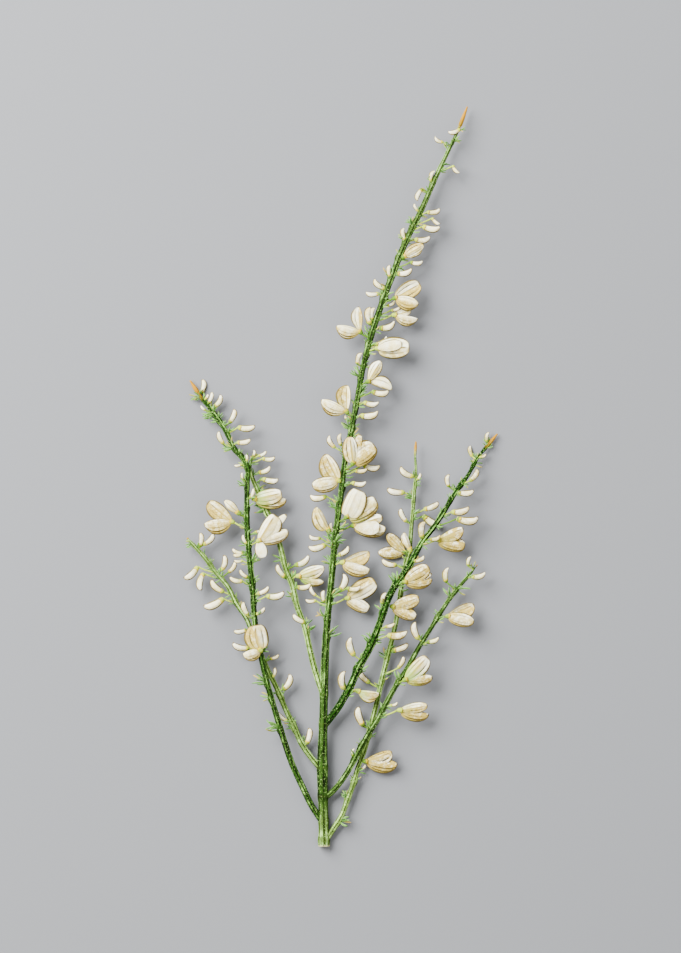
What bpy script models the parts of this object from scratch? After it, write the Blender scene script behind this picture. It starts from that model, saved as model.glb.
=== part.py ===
"""A cut sprig of white broom, lying on its side on a surface.

A green main stem carries six side stems. Each stem carries leaflet tufts, stalked club-shaped buds, and the
stalks and cups of its pea-shaped blooms, whose petals are pieces of their own. The sprig lies along Y with
its cut end at -Y, seen from above as it grows: +X is its right side. Sizes are in mm and turned to metres
where a mesh is made. The origin is the middle of the sprig's outline, on the surface it lies on.
"""

import math
from collections import namedtuple

import bmesh
import bpy
import numpy as np
from mathutils import Matrix, Vector

MM = 0.001
CLEAR = 0.3  # left between a bloom and its cup, and between a side stem and the main stem
RING_STEP = 8.0  # between the rings of a stem
ROUTE_STEP = 1.0  # between the points that tell a stem's place at a height
STEM_SIDES = 6
MAIN_STEM_SIDES = 8
SPRING_RADIUS = 0.35  # of a side stem's first ring, where it parts from the main stem

STALK_RADIUS = 0.42
STALK_SLANT = 0.45  # how far below its cup a stalk leaves the stem, as a share of its reach
LOWEST_STALK = 2.0  # above the foot of its stem
CUP_RADIUS = 1.15
CUP_NECK_RADIUS = 0.6
CUP_LENGTH = 2.0
CUP_SIDES = 6

BUD_STOUTNESS = 0.21  # belly radius as a share of a bud's length
BUD_RADII = (0.65, 1.75)  # the slimmest and the stoutest belly
BUD_FOOT_WIDTH = 0.6  # foot and tip radius as shares of the belly's
BUD_TIP_WIDTH = 0.4
BUD_BELLY = 0.6  # where along its length a bud is stoutest
BUD_ARCH = 0.1  # how far the belly sags towards -Y, as a share of the length: a bud's tip curves up
BUD_RISE = 0.12  # how far the tip rises or sinks, as a share of the length
BUD_LIFTS = (0.7, -0.7, 1.6, -1.6, 2.6, -2.6, 3.6, 4.6)  # above the stem, tried until a bud is clear
BUD_SIDES = 6
SMALL_BUD = 6.0  # a shorter bud has fewer sides
SMALL_BUD_SIDES = 4
SESSILE = 2.2  # a bud nearer than this to its stem has no stalk

PETAL_THICKNESS = 0.7
PETAL_ROOT_WIDTH = 0.24  # as a share of the breadth
STANDARD_AHEAD = 0.25  # from the wings' root to the standard's
ROOT_SPREAD = 0.15  # from the cup's axis to the root of either
PETAL_REACH = 0.45  # from a petal's root to its middle, ahead and back, as shares of the bloom's size
PETAL_ARCH = 0.18
WINGS_BACK = 0.3  # from the keel's tip to the wings'
WING_FOLD = 55  # degrees that each half of a blade slopes away from its midrib
# An open and a half-open bloom: fold of the standard, rise of its tip and drop of the keel's from the cup's
# height, and breadth of the wings as a share of their length.
OPEN = dict(fold=20, rise=1.4, drop=0.8, wing_breadth=0.62)
HALF_OPEN = dict(fold=40, rise=0.6, drop=0.2, wing_breadth=0.4)
ROLL_BELLY = 0.4  # belly radius of rolled wings as a share of their breadth
ROLL_ROOT_RADIUS = 0.9
ROLL_TIP_RADIUS = 0.4
ROLL_SIDES = 6
STANDARD_ROWS = 4
WING_ROWS = 3

LEAFLET_RADIUS = 0.55
LEAFLET_TIP_RADIUS = 0.2
LEAFLET_FOOT = 0.35  # from the stem's axis, as a share of its radius
LEAFLET_BEYOND = 0.5  # added to a leaflet's length, as a share of the stem's radius
LEAFLET_FAN = (18, 80)  # degrees from the stem's own direction
LEAFLET_SCATTER = 9
LEAFLET_RISE = (-0.35, 0.6)
LEAFLET_REACH = (0.85, 1.1)
LEAFLET_TRIES = 14
LEAFLET_SEED = 8

# Heights are Y, where the sprig's middle is 0. A route's points are (x, y, z, radius).
# A bud is (cup x, cup y, tip x, tip y), and its lift above the stem where it needs a set one.
# A tuft is (height, side, leaflets, length), with side -1 for left and 1 for right.
STEMS = {
    "main_stem": {
        "route": [
            (-6.6, -147.6, 1.9, 2.0), (-6.8, -134.8, 2.3, 1.7), (-7.2, -118.0, 3.4, 1.9),
            (-6.8, -96.8, 4.6, 1.5), (-6.2, -73.6, 5.6, 1.4), (-5.4, -58.8, 6.0, 1.2),
            (-3.4, -38.8, 6.4, 1.1), (-2.0, -22.8, 6.6, 1.1), (0.0, -8.0, 6.8, 1.05),
            (2.0, 8.4, 7.0, 1.0), (4.4, 19.6, 7.0, 1.0), (6.8, 31.6, 7.0, 1.0),
            (8.4, 41.2, 6.9, 1.0), (12.6, 58.0, 6.7, 1.05), (15.8, 67.6, 6.5, 1.1),
            (20.2, 79.6, 6.3, 1.1), (26.6, 95.6, 6.0, 1.1), (32.2, 106.8, 5.6, 1.0),
            (37.8, 119.6, 5.0, 0.9), (43.8, 132.2, 4.6, 0.6), (47.4, 140.0, 4.3, 0.5),
            (50.8, 148.7, 4.0, 0.12),
        ],
        "buds": [
            (47.8, 139.6, 43.0, 138.8), (41.0, 134.4, 37.8, 136.8), (45.0, 125.0, 47.8, 122.2),
            (36.0, 118.8, 38.0, 122.8), (32.6, 115.6, 31.0, 110.8), (31.0, 106.8, 29.8, 109.8),
            (34.6, 106.4, 39.6, 108.0), (36.6, 104.0, 40.0, 101.8), (32.8, 100.8, 39.8, 100.8),
            (29.6, 95.6, 35.8, 97.0), (25.8, 95.2, 25.7, 100.0), (28.0, 86.4, 32.8, 87.0),
            (22.4, 81.8, 28.4, 84.0), (19.6, 80.4, 20.2, 85.0), (17.8, 75.8, 13.8, 79.8),
            (15.4, 73.8, 10.2, 74.6), (18.6, 69.0, 21.6, 71.2), (20.2, 67.2, 23.6, 68.8),
            (15.6, 60.0, 21.6, 63.0), (13.8, 53.4, 18.4, 57.0), (12.6, 63.2, 14.0, 68.0),
            (12.0, 61.6, 12.4, 68.2), (6.8, 45.4, 9.0, 49.8), (9.8, 44.8, 12.8, 45.4),
            (12.6, 34.6, 19.2, 35.2), (9.4, 30.4, 15.4, 30.6), (8.0, 25.0, 15.0, 27.0),
            (2.6, 23.2, 2.4, 25.4), (-2.2, 12.2, -4.2, 17.2), (0.2, 13.0, 0.4, 17.8),
            (9.0, 5.4, 15.8, 5.2), (5.8, 3.0, 10.6, 4.0), (4.6, -1.8, 10.2, -1.2),
            (-5.6, -7.2, -12.2, -6.6), (-2.2, -22.8, -3.4, -17.8), (-8.0, -24.0, -12.4, -22.6),
            (-5.8, -26.6, -12.9, -27.2), (-0.9, -30.8, 2.9, -27.0), (-9.8, -47.0, -11.5, -43.2),
            (-9.8, -49.0, -14.0, -48.4), (-6.6, -49.6, -6.2, -45.0), (-0.4, -45.0, 0.9, -38.1),
            (2.5, -44.0, 8.0, -42.8),
        ],
        "tufts": [
            (134.8, 1, 2, 3.0), (131.2, -1, 1, 3.0), (124.8, 1, 1, 3.0), (118.0, -1, 1, 3.0),
            (100.8, -1, 3, 3.6), (95.2, -1, 2, 3.2), (88.4, -1, 1, 3.0), (80.8, -1, 2, 4.2),
            (72.4, -1, 1, 3.0), (72.4, 1, 1, 3.6), (57.6, -1, 1, 4.0), (54.0, -1, 1, 2.6),
            (49.6, 1, 1, 2.8), (40.4, -1, 3, 5.0), (35.2, 1, 2, 2.8), (29.2, -1, 1, 2.8),
            (20.0, -1, 2, 4.6), (20.0, 1, 1, 3.0), (16.0, 1, 2, 4.2), (9.4, -1, 1, 3.4),
            (3.2, 1, 1, 3.0), (-3.6, 1, 1, 3.0), (-12.4, -1, 4, 4.4), (-20.0, 1, 1, 5.4),
            (-26.0, -1, 2, 5.4), (-26.0, 1, 2, 4.4), (-35.2, -1, 3, 4.8), (-47.6, 1, 3, 5.0),
            (-55.6, -1, 2, 4.4), (-63.2, 1, 2, 5.6),
        ],
    },
    "left_outer_stem": {
        "leaves_main_at": -138.8,
        "route": [
            (-11.2, -131.8, 3.2, 1.1), (-15.2, -123.6, 4.0, 1.1), (-19.2, -114.8, 5.0, 1.1),
            (-22.6, -104.8, 6.0, 1.1), (-25.4, -95.6, 7.0, 1.05), (-28.2, -86.0, 7.6, 1.0),
            (-30.2, -78.4, 8.0, 1.0), (-31.8, -70.8, 8.2, 1.0), (-33.4, -62.8, 8.2, 1.0),
            (-34.6, -52.8, 8.0, 1.0), (-35.1, -44.0, 8.0, 1.0), (-36.2, -34.0, 8.0, 1.0),
            (-37.1, -23.0, 8.0, 1.0), (-37.5, -12.0, 8.0, 0.95), (-37.2, -0.8, 8.0, 0.9),
            (-37.0, 3.2, 8.0, 0.9), (-38.0, 6.0, 7.8, 0.9), (-42.6, 12.0, 6.6, 0.85),
            (-46.2, 19.2, 5.0, 0.8), (-51.0, 26.0, 3.2, 0.7), (-56.2, 32.8, 1.9, 0.55),
            (-60.3, 39.1, 1.6, 0.12),
        ],
        "buds": [
            (-55.9, 34.0, -55.8, 39.4, -0.9), (-52.9, 30.0, -52.0, 34.4), (-54.2, 31.6, -53.5, 33.6),
            (-50.7, 28.5, -48.4, 33.5), (-53.9, 27.2, -55.7, 29.2), (-44.5, 22.0, -43.0, 27.6),
            (-41.0, 20.4, -34.4, 21.4), (-41.4, 14.2, -36.2, 15.9), (-46.7, 13.7, -48.2, 18.7),
            (-37.5, 6.7, -38.0, 9.2), (-39.4, 5.4, -42.4, 5.3), (-38.9, -0.8, -39.0, 2.2),
            (-36.2, -8.1, -35.2, -4.1), (-37.5, -26.2, -38.6, -22.6), (-39.1, -33.0, -42.4, -32.6),
            (-38.8, -29.9, -42.9, -27.9), (-38.8, -30.1, -42.8, -30.3), (-34.2, -21.6, -31.2, -20.2),
            (-37.1, -39.7, -39.8, -36.4), (-39.1, -41.2, -44.0, -39.2), (-33.3, -46.2, -29.1, -43.0),
            (-29.6, -47.0, -22.8, -45.0), (-33.5, -54.4, -30.6, -51.5), (-36.8, -55.0, -38.3, -49.4),
        ],
        "tufts": [
            (32.2, -1, 2, 4.4), (25.6, -1, 4, 4.6), (26.2, 1, 2, 4.6), (23.6, 1, 2, 2.6),
            (22.9, -1, 2, 3.0), (18.0, 1, 1, 2.2), (11.9, -1, 3, 4.2), (9.2, 1, 2, 2.2),
            (4.4, 1, 1, 2.6), (4.4, -1, 1, 2.6), (-3.5, -1, 2, 3.8), (-11.6, 1, 1, 3.0),
            (-15.2, -1, 1, 3.0), (-26.2, 1, 1, 3.8), (-33.6, 1, 3, 4.2), (-41.2, 1, 1, 3.2),
            (-43.4, -1, 1, 2.2), (-48.8, 1, 1, 2.2), (-82.0, -1, 3, 5.6), (-88.0, -1, 1, 4.4),
            (-100.4, -1, 3, 6.6),
        ],
    },
    "left_middle_stem": {
        "leaves_main_at": -117.4,
        "route": [
            (-11.8, -111.8, 3.5, 1.0), (-15.5, -106.4, 3.6, 1.0), (-18.2, -100.4, 3.6, 1.0),
            (-22.2, -92.0, 3.5, 0.95), (-25.4, -84.4, 3.4, 0.9), (-28.6, -78.0, 3.4, 0.9),
            (-31.6, -71.2, 3.4, 0.9), (-35.0, -63.2, 3.6, 0.85), (-37.6, -56.4, 3.9, 0.8),
            (-41.8, -50.0, 4.2, 0.8), (-45.0, -43.6, 4.4, 0.8), (-49.8, -38.0, 4.5, 0.75),
            (-54.6, -31.6, 4.4, 0.7), (-59.4, -26.2, 4.2, 0.55), (-61.4, -24.0, 4.2, 0.2),
        ],
        "buds": [
            (-56.2, -27.4, -56.7, -22.1), (-54.9, -26.6, -51.5, -21.9), (-57.1, -35.4, -62.9, -39.5),
            (-54.6, -38.1, -55.1, -44.8), (-47.5, -36.8, -47.1, -31.0), (-44.9, -37.7, -42.8, -33.4),
            (-46.8, -45.5, -51.1, -40.4), (-46.8, -48.2, -54.8, -50.6), (-37.6, -60.8, -42.6, -60.8),
            (-36.6, -68.0, -42.8, -65.6), (-28.2, -72.4, -25.0, -70.4), (-27.0, -79.6, -26.8, -76.0),
            (-23.2, -84.8, -20.8, -78.4), (-21.4, -97.2, -24.4, -93.6), (-13.6, -106.4, -13.2, -100.2),
        ],
        "tufts": [
            (-26.4, -1, 3, 3.0), (-31.0, 1, 1, 2.4), (-34.2, 1, 1, 2.4), (-35.6, -1, 1, 2.4),
            (-39.6, 1, 1, 2.6), (-49.0, -1, 1, 2.4), (-48.8, 1, 1, 3.0), (-52.0, 1, 1, 2.4),
            (-68.4, 1, 2, 2.4), (-86.0, -1, 1, 2.4), (-87.6, 1, 1, 3.0), (-100.0, -1, 2, 2.8),
            (-98.0, 1, 1, 2.4), (-105.6, 1, 1, 2.6),
        ],
    },
    "left_inner_stem": {
        "leaves_main_at": -88.0,
        "route": [
            (-10.2, -76.8, 5.2, 1.1), (-12.2, -68.8, 5.2, 1.0), (-14.2, -60.0, 5.0, 1.0),
            (-17.4, -51.2, 4.8, 1.0), (-19.6, -42.0, 4.6, 1.0), (-21.8, -36.8, 4.4, 0.95),
            (-24.0, -28.0, 4.2, 0.95), (-26.2, -20.8, 4.0, 0.9), (-29.1, -14.6, 4.0, 0.9),
            (-31.6, -9.2, 4.0, 0.85), (-33.4, -4.8, 4.0, 0.8), (-35.9, 1.9, 4.0, 0.75),
            (-36.4, 4.8, 4.0, 0.65), (-35.4, 8.6, 4.0, 0.35),
        ],
        "buds": [
            (-35.2, 8.5, -35.0, 11.2), (-32.9, 8.9, -30.0, 11.0), (-31.2, 7.9, -26.4, 8.7),
            (-32.9, 2.2, -28.4, 5.0), (-31.2, -0.3, -24.9, -0.1), (-22.0, -39.7, -24.6, -34.4),
            (-18.2, -34.8, -13.1, -30.6), (-17.5, -43.6, -12.0, -41.9), (-14.0, -57.9, -18.4, -54.1),
        ],
        "tufts": [
            (6.4, 1, 1, 2.6), (-5.5, 1, 2, 3.6), (-7.6, -1, 1, 2.4), (-13.2, -1, 2, 4.0),
            (-14.2, 1, 1, 2.4), (-32.4, -1, 1, 4.0), (-40.4, 1, 1, 3.2), (-47.6, -1, 2, 3.8),
            (-61.5, 1, 2, 3.8),
        ],
    },
    "right_low_stem": {
        "leaves_main_at": -146.6,
        "route": [
            (0.2, -135.8, 2.7, 0.95), (2.8, -129.2, 2.9, 0.95), (5.1, -122.8, 3.0, 0.9),
            (7.1, -115.8, 3.0, 0.9), (9.0, -110.8, 3.0, 0.95), (11.4, -102.4, 3.0, 0.95),
            (13.0, -96.4, 3.0, 0.9), (15.0, -88.0, 3.1, 0.9), (16.6, -80.8, 3.2, 0.9),
            (18.6, -72.8, 3.4, 0.9), (20.6, -64.8, 3.5, 0.85), (22.2, -57.6, 3.5, 0.85),
            (23.4, -50.4, 3.4, 0.85), (24.6, -42.0, 3.4, 0.8), (25.8, -35.6, 3.4, 0.8),
            (27.4, -29.9, 3.5, 0.8), (28.2, -21.9, 3.8, 0.75), (28.9, -13.6, 4.0, 0.7),
            (29.6, -4.8, 4.1, 0.65), (30.2, 3.2, 4.2, 0.5), (29.9, 8.6, 4.2, 0.4),
            (30.2, 14.6, 4.2, 0.12),
        ],
        "buds": [
            (29.2, 0.6, 24.4, 4.8), (30.5, -0.8, 31.6, 2.0), (25.6, -5.7, 19.1, -3.7),
            (33.4, -12.6, 38.7, -9.2), (33.1, -15.0, 40.4, -18.2, -0.8), (26.5, -17.5, 24.7, -12.2),
            (22.5, -34.8, 16.9, -32.2), (20.9, -69.0, 26.4, -65.7), (23.1, -76.1, 24.7, -71.4),
            (11.6, -82.0, 8.2, -76.8, -0.4), (9.2, -99.2, 8.0, -91.6), (8.2, -116.8, 9.8, -114.6),
        ],
        "tufts": [
            (-2.6, 1, 1, 2.4), (-8.4, -1, 3, 3.8), (-32.8, -1, 1, 2.4), (-45.9, 1, 1, 3.0),
            (-71.7, -1, 2, 3.4), (-80.8, 1, 1, 2.4), (-128.4, -1, 4, 3.2), (-137.2, 1, 3, 4.2),
            (-121.2, -1, 1, 2.4), (-121.2, 1, 1, 2.6), (-100.0, -1, 1, 3.2), (-102.8, 1, 1, 2.4),
        ],
    },
    "right_inner_stem": {
        "leaves_main_at": -99.8,
        "route": [
            (-1.0, -92.0, 5.4, 1.3), (1.8, -87.2, 6.0, 1.3), (3.8, -83.6, 6.4, 1.3),
            (7.4, -75.6, 7.2, 1.3), (11.4, -68.4, 7.6, 1.3), (15.4, -58.8, 8.0, 1.2),
            (19.6, -47.2, 8.4, 1.2), (22.2, -42.4, 8.6, 1.15), (25.4, -38.0, 8.6, 1.1),
            (28.9, -32.4, 8.4, 1.1), (32.4, -25.9, 8.1, 1.0), (37.4, -19.4, 7.6, 0.95),
            (42.2, -12.0, 7.0, 0.9), (46.9, -4.4, 6.0, 0.8), (50.9, 1.0, 4.8, 0.7),
            (54.9, 8.0, 3.0, 0.55), (58.9, 13.0, 1.8, 0.45), (62.9, 17.7, 1.4, 0.12),
        ],
        "buds": [
            (58.7, 14.5, 59.8, 18.3), (52.9, 8.6, 52.4, 13.0, -1.9), (55.8, 8.4, 58.2, 9.8),
            (51.6, -1.2, 54.2, 3.8), (43.4, -3.5, 43.8, 1.4), (46.9, -5.9, 53.1, -4.6),
            (44.4, -13.5, 51.2, -11.2), (46.5, -16.1, 54.9, -15.2), (32.7, -24.1, 34.2, -17.5),
            (35.6, -24.4, 39.8, -22.6), (29.2, -33.2, 33.2, -30.8), (16.6, -50.2, 18.6, -45.9),
            (17.8, -59.4, 21.6, -57.7), (18.8, -62.8, 26.6, -60.8), (5.6, -71.0, 4.5, -63.5),
            (1.4, -84.4, 2.2, -77.2),
        ],
        "tufts": [
            (12.4, 1, 1, 2.8), (12.4, -1, 1, 2.4), (5.6, -1, 2, 2.4), (5.6, 1, 1, 3.4),
            (-2.0, -1, 1, 2.4), (-2.4, 1, 1, 2.8), (-8.4, -1, 1, 2.4), (-14.2, -1, 1, 2.4),
            (-35.4, 1, 1, 2.8), (-41.9, -1, 4, 4.0), (-53.5, -1, 2, 3.4), (-64.0, 1, 1, 3.6),
            (-65.9, -1, 3, 4.2), (-76.0, -1, 1, 2.4), (-76.4, 1, 1, 3.4), (-84.6, 1, 1, 3.0),
        ],
    },
    "right_outer_stem": {
        "leaves_main_at": -129.0,
        "route": [
            (-3.0, -125.4, 3.4, 1.0), (0.5, -121.2, 4.0, 1.0), (4.5, -114.8, 5.0, 1.0),
            (7.8, -108.4, 6.4, 1.0), (11.4, -102.0, 7.4, 1.0), (15.4, -95.6, 7.4, 0.95),
            (18.6, -89.6, 7.2, 0.95), (22.6, -82.4, 7.0, 0.9), (27.0, -75.6, 6.6, 0.9),
            (31.0, -68.4, 6.4, 0.85), (35.0, -62.0, 6.2, 0.8), (38.7, -56.0, 6.0, 0.8),
            (42.4, -50.2, 6.0, 0.75), (46.7, -44.4, 5.8, 0.65), (51.4, -39.0, 5.6, 0.5),
            (54.7, -34.8, 5.4, 0.12),
        ],
        "buds": [
            (51.1, -35.2, 52.4, -31.5), (52.4, -39.4, 57.8, -37.4), (42.4, -41.7, 43.4, -35.7),
            (31.2, -64.4, 30.2, -57.4), (34.7, -65.5, 39.2, -63.4), (19.8, -90.8, 22.6, -89.4),
            (4.8, -111.2, 5.8, -108.2),
        ],
        "tufts": [
            (-39.6, -1, 1, 2.4), (-44.6, 1, 1, 4.8), (-47.6, -1, 3, 4.0), (-55.4, -1, 1, 2.8),
            (-55.6, 1, 1, 2.4), (-80.8, -1, 2, 3.6), (-92.8, -1, 1, 3.2), (-106.8, -1, 1, 2.4),
            (-112.4, -1, 1, 3.8),
        ],
    },
}

# A bloom's cup mouth, standard tip and keel tip are (x, y). The standard's breadth is across it, and lift
# is the cup's height above its stem. A half-open bloom's wings are still rolled shut under its standard.
# A bloom is rolled by turn, in degrees, from its side towards its back facing up. Where turn is below 0 its
# wings lie above, in a valley of its standard.
Bloom = namedtuple("Bloom", "cup standard breadth keel lift half_open turn", defaults=(False, 48))
BLOOMS = {
    "main_stem": [
        Bloom((26.0, 88.8), (33.4, 93.2), 4.6, (32.6, 92.0), 0.6, True),
        Bloom((22.6, 72.0), (31.8, 77.6), 8.2, (31.2, 69.4), 1.4, turn=-48),
        Bloom((22.4, 65.2), (28.2, 67.0), 4.4, (31.0, 63.6), -0.6, turn=-48),
        Bloom((15.6, 51.8), (27.6, 52.4), 8.4, (25.0, 50.6), 1.2, turn=75),
        Bloom((7.4, 59.0), (7.3, 68.6), 4.6, (-1.8, 60.6), 0.8, turn=-48),
        Bloom((11.8, 38.8), (16.0, 47.0), 5.6, (20.6, 36.0), 1.2),
        Bloom((2.0, 27.2), (2.4, 37.4), 5.6, (-7.8, 31.0), 0.8, turn=-48),
        Bloom((5.2, 6.6), (4.6, 16.8), 6.6, (13.6, 13.6), 3.4),
        Bloom((-1.6, -0.6), (-6.0, 9.6), 8.0, (-11.4, -2.6), 0.8, turn=-48),
        Bloom((3.0, -15.0), (7.8, -4.8), 9.4, (14.4, -11.0), 1.6, turn=70),
        Bloom((6.0, -19.0), (16.8, -15.6), 5.4, (18.0, -21.0), -0.8),
        Bloom((-5.2, -20.0), (-9.6, -11.4), 4.6, (-9.0, -12.0), 0.8, True),
        Bloom((1.6, -33.7), (10.9, -29.7), 6.0, (11.8, -36.8), 0.8, turn=-48),
        Bloom((3.6, -47.9), (14.0, -41.4), 7.4, (12.4, -51.6), -0.6),
    ],
    "left_outer_stem": [
        Bloom((-44.2, -17.2), (-53.0, -9.8), 7.0, (-54.6, -18.6), -0.6, turn=-48),
        Bloom((-41.5, -13.4), (-46.4, -9.0), 3.2, (-46.0, -9.8), 1.8, True),
        Bloom((-32.0, -24.6), (-25.4, -14.6), 7.6, (-21.4, -24.8), 0.8),
        Bloom((-32.6, -68.0), (-33.6, -58.6), 9.4, (-39.0, -70.6), 2.4, turn=78),
    ],
    "left_inner_stem": [
        Bloom((-33.6, -8.4), (-23.6, -5.2), 7.2, (-21.8, -9.6), 3.0),
        Bloom((-16.0, -39.2), (-6.4, -35.6), 6.0, (-6.6, -41.8), 0.6),
    ],
    "right_low_stem": [
        Bloom((25.1, -29.5), (18.2, -22.6), 6.0, (14.9, -30.0), -1.1),
        Bloom((21.6, -51.4), (31.2, -48.2), 5.6, (30.2, -55.8), 3.0),
        Bloom((10.8, -113.4), (20.4, -109.6), 6.0, (22.4, -115.8), 0.6),
        Bloom((27.6, -28.0), (25.4, -21.7), 3.2, (25.0, -22.4), 1.8, True),
    ],
    "right_inner_stem": [
        Bloom((39.8, -24.6), (48.9, -20.0), 5.6, (49.8, -27.4), -0.8),
        Bloom((26.4, -41.2), (35.4, -35.2), 6.0, (36.7, -40.6), 0.6),
        Bloom((7.8, -85.4), (15.6, -86.2), 3.8, (14.6, -87.6), 0.2, True),
    ],
    "right_outer_stem": [
        Bloom((43.8, -55.2), (53.4, -50.8), 5.4, (53.4, -57.6), 0.4, turn=-48),
        Bloom((26.6, -80.2), (34.6, -71.4), 7.0, (36.8, -79.6), 2.4),
        Bloom((24.6, -92.8), (34.8, -91.0), 4.0, (35.4, -94.6), 0.4),
    ],
}

UP = np.array((0.0, 0.0, 1.0))


def unit(vector):
    return vector / np.linalg.norm(vector)


def smooth(points, step):
    """The curve through points, resampled: each stretch is a cubic with the slopes of its neighbours."""
    points = np.array(points, float)
    gaps = np.linalg.norm(np.diff(points[:, :3], axis=0), axis=1)
    length = np.concatenate([[0], np.cumsum(gaps)])
    slope = np.gradient(points, length, axis=0)
    places = np.linspace(0, length[-1], round(length[-1] / step) + 1)
    k = np.clip(np.searchsorted(length, places, side="right") - 1, 0, len(points) - 2)
    span = (length[k + 1] - length[k])[:, None]
    t = (places[:, None] - length[k][:, None]) / span
    return (
        points[k] * (1 + 2 * t) * (1 - t) ** 2
        + points[k + 1] * t**2 * (3 - 2 * t)
        + slope[k] * span * t * (1 - t) ** 2
        - slope[k + 1] * span * t**2 * (1 - t)
    )


def stem_path(points):
    """The rings of a stem: its springing point, then its smooth route."""
    return np.concatenate([points[:1], smooth(points[1:], RING_STEP)])


def place(route, height):
    """The point and radius of a stem at a height, from its finely resampled route."""
    return np.array([np.interp(height, route[:, 1], route[:, k]) for k in range(4)])


def full_route(name, main_route):
    """A stem's own points. A side stem starts with the two where it parts from the main stem.

    They lie on the straight line from the main stem's axis, at the height where the side stem leaves it, to
    the side stem's first point: one where a thin ring is clear of the main stem, one where a full ring is.
    """
    stem = STEMS[name]
    points = list(stem["route"])
    if "leaves_main_at" not in stem:
        return points
    root = place(main_route, stem["leaves_main_at"])
    first = np.array(points[0])
    apart = np.linalg.norm((first - place(main_route, first[1]))[:3])
    parting = []
    for radius in (SPRING_RADIUS, first[3]):
        clear_at = root + (root[3] + CLEAR + radius) / apart * (first - root)
        parting.append((*clear_at[:3], radius))
    return parting + points


class Growth:
    """What is placed so far, as points with radii, so that new shoots of one node miss the others."""

    def __init__(self):
        self.points = {}

    def add(self, node, points):
        self.points.setdefault(node, []).append(np.asarray(points, float))

    def others(self, node):
        return np.concatenate([p for name, lists in self.points.items() if name != node for p in lists])


def clear(points, others):
    """Whether points (x, y, z, radius) lie above the surface and off everything in others."""
    if (points[:, 2] - points[:, 3]).min() < 0.1:
        return False
    apart = np.linalg.norm(points[:, None, :3] - others[None, :, :3], axis=2)
    return bool((apart - points[:, None, 3] - others[None, :, 3]).min() > CLEAR)


def between(a, b, count=5):
    """Points from a to b, both (x, y, z, radius)."""
    return np.linspace(a, b, count)


def along(path):
    """Points closely spaced along a path of a few (x, y, z, radius)."""
    return np.concatenate([between(a, b) for a, b in zip(path[:-1], path[1:])])


def stalk(route, cup, z_of_cup):
    """The two ends of the stalk that carries a cup, as (x, y, z, radius)."""
    beside = place(route, cup[1])
    reach = abs(cup[0] - beside[0])
    foot = place(route, max(cup[1] - STALK_SLANT * reach, route[0, 1] + LOWEST_STALK))
    foot[3] = STALK_RADIUS
    end = np.array([cup[0], cup[1], z_of_cup, STALK_RADIUS])
    return foot, end


def bud_path(route, bud, lift):
    """A bud with its stalk: foot, cup, belly and tip."""
    cup, tip = np.array(bud[:2]), np.array(bud[2:4])
    z = place(route, cup[1])[2] + lift
    foot, end = stalk(route, cup, z)
    length = np.linalg.norm(tip - cup)
    radius = np.clip(BUD_STOUTNESS * length, *BUD_RADII)
    sideways = unit(np.array((cup[1] - tip[1], tip[0] - cup[0])))
    arch = BUD_ARCH * length * sideways * (-1 if sideways[1] > 0 else 1)
    belly = cup + BUD_BELLY * (tip - cup) + arch
    end[3] = BUD_FOOT_WIDTH * radius
    rise = BUD_RISE * length * np.sign(lift)
    path = [
        foot,
        end,
        np.array([*belly, z + BUD_BELLY * rise, radius]),
        np.array([*tip, z + rise, BUD_TIP_WIDTH * radius]),
    ]
    if np.linalg.norm(end[:3] - foot[:3]) < SESSILE:
        path.pop(1)
    return path


def bloom_frame(route, bloom):
    """Where a bloom's cup mouth is, which way it looks, and which way its back and side face."""
    cup, standard, keel = (np.array(p) for p in (bloom.cup, bloom.standard, bloom.keel))
    mouth = np.array([*cup, place(route, cup[1])[2] + bloom.lift])
    ahead = unit(np.array([*((standard + keel) / 2 - cup), 0.0]))
    across = np.array((-ahead[1], ahead[0], 0.0))
    if np.dot(np.array([*(standard - keel), 0.0]), across) < 0:
        across = -across
    turn = math.radians(bloom.turn)
    back = math.cos(turn) * across + math.sin(turn) * UP
    return mouth, ahead, back


def petal_point(root, middle, tip, back, breadth, fold, s, t):
    """A point of a folded petal, at s from -1 to 1 across it and t from 0 to 1 along it.

    The midrib is a quadratic curve from root to tip, drawn towards middle. The width swells as a sine and
    narrows to a blunt end, and both halves slope away from the midrib by the fold angle.
    """
    midrib = (1 - t) ** 2 * root + 2 * t * (1 - t) * middle + t**2 * tip
    ahead = (1 - t) * (middle - root) + t * (tip - middle)
    swell = max(0.0, math.sin(math.pi * t**1.3)) ** 0.8
    width = breadth / 2 * (PETAL_ROOT_WIDTH + (1 - PETAL_ROOT_WIDTH) * swell)
    side = unit(np.cross(ahead, back))
    return midrib + width * (s * math.cos(fold) * side - abs(s) * math.sin(fold) * back)


def rolled_wings(wings):
    """A half-open bloom's wings as one closed roll, (x, y, z, radius) from root to tip."""
    middle = (wings["root"] + 2 * wings["middle"] + wings["tip"]) / 4
    return [
        np.array([*wings["root"], ROLL_ROOT_RADIUS]),
        np.array([*middle, ROLL_BELLY * wings["breadth"]]),
        np.array([*wings["tip"], ROLL_TIP_RADIUS]),
    ]


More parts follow.
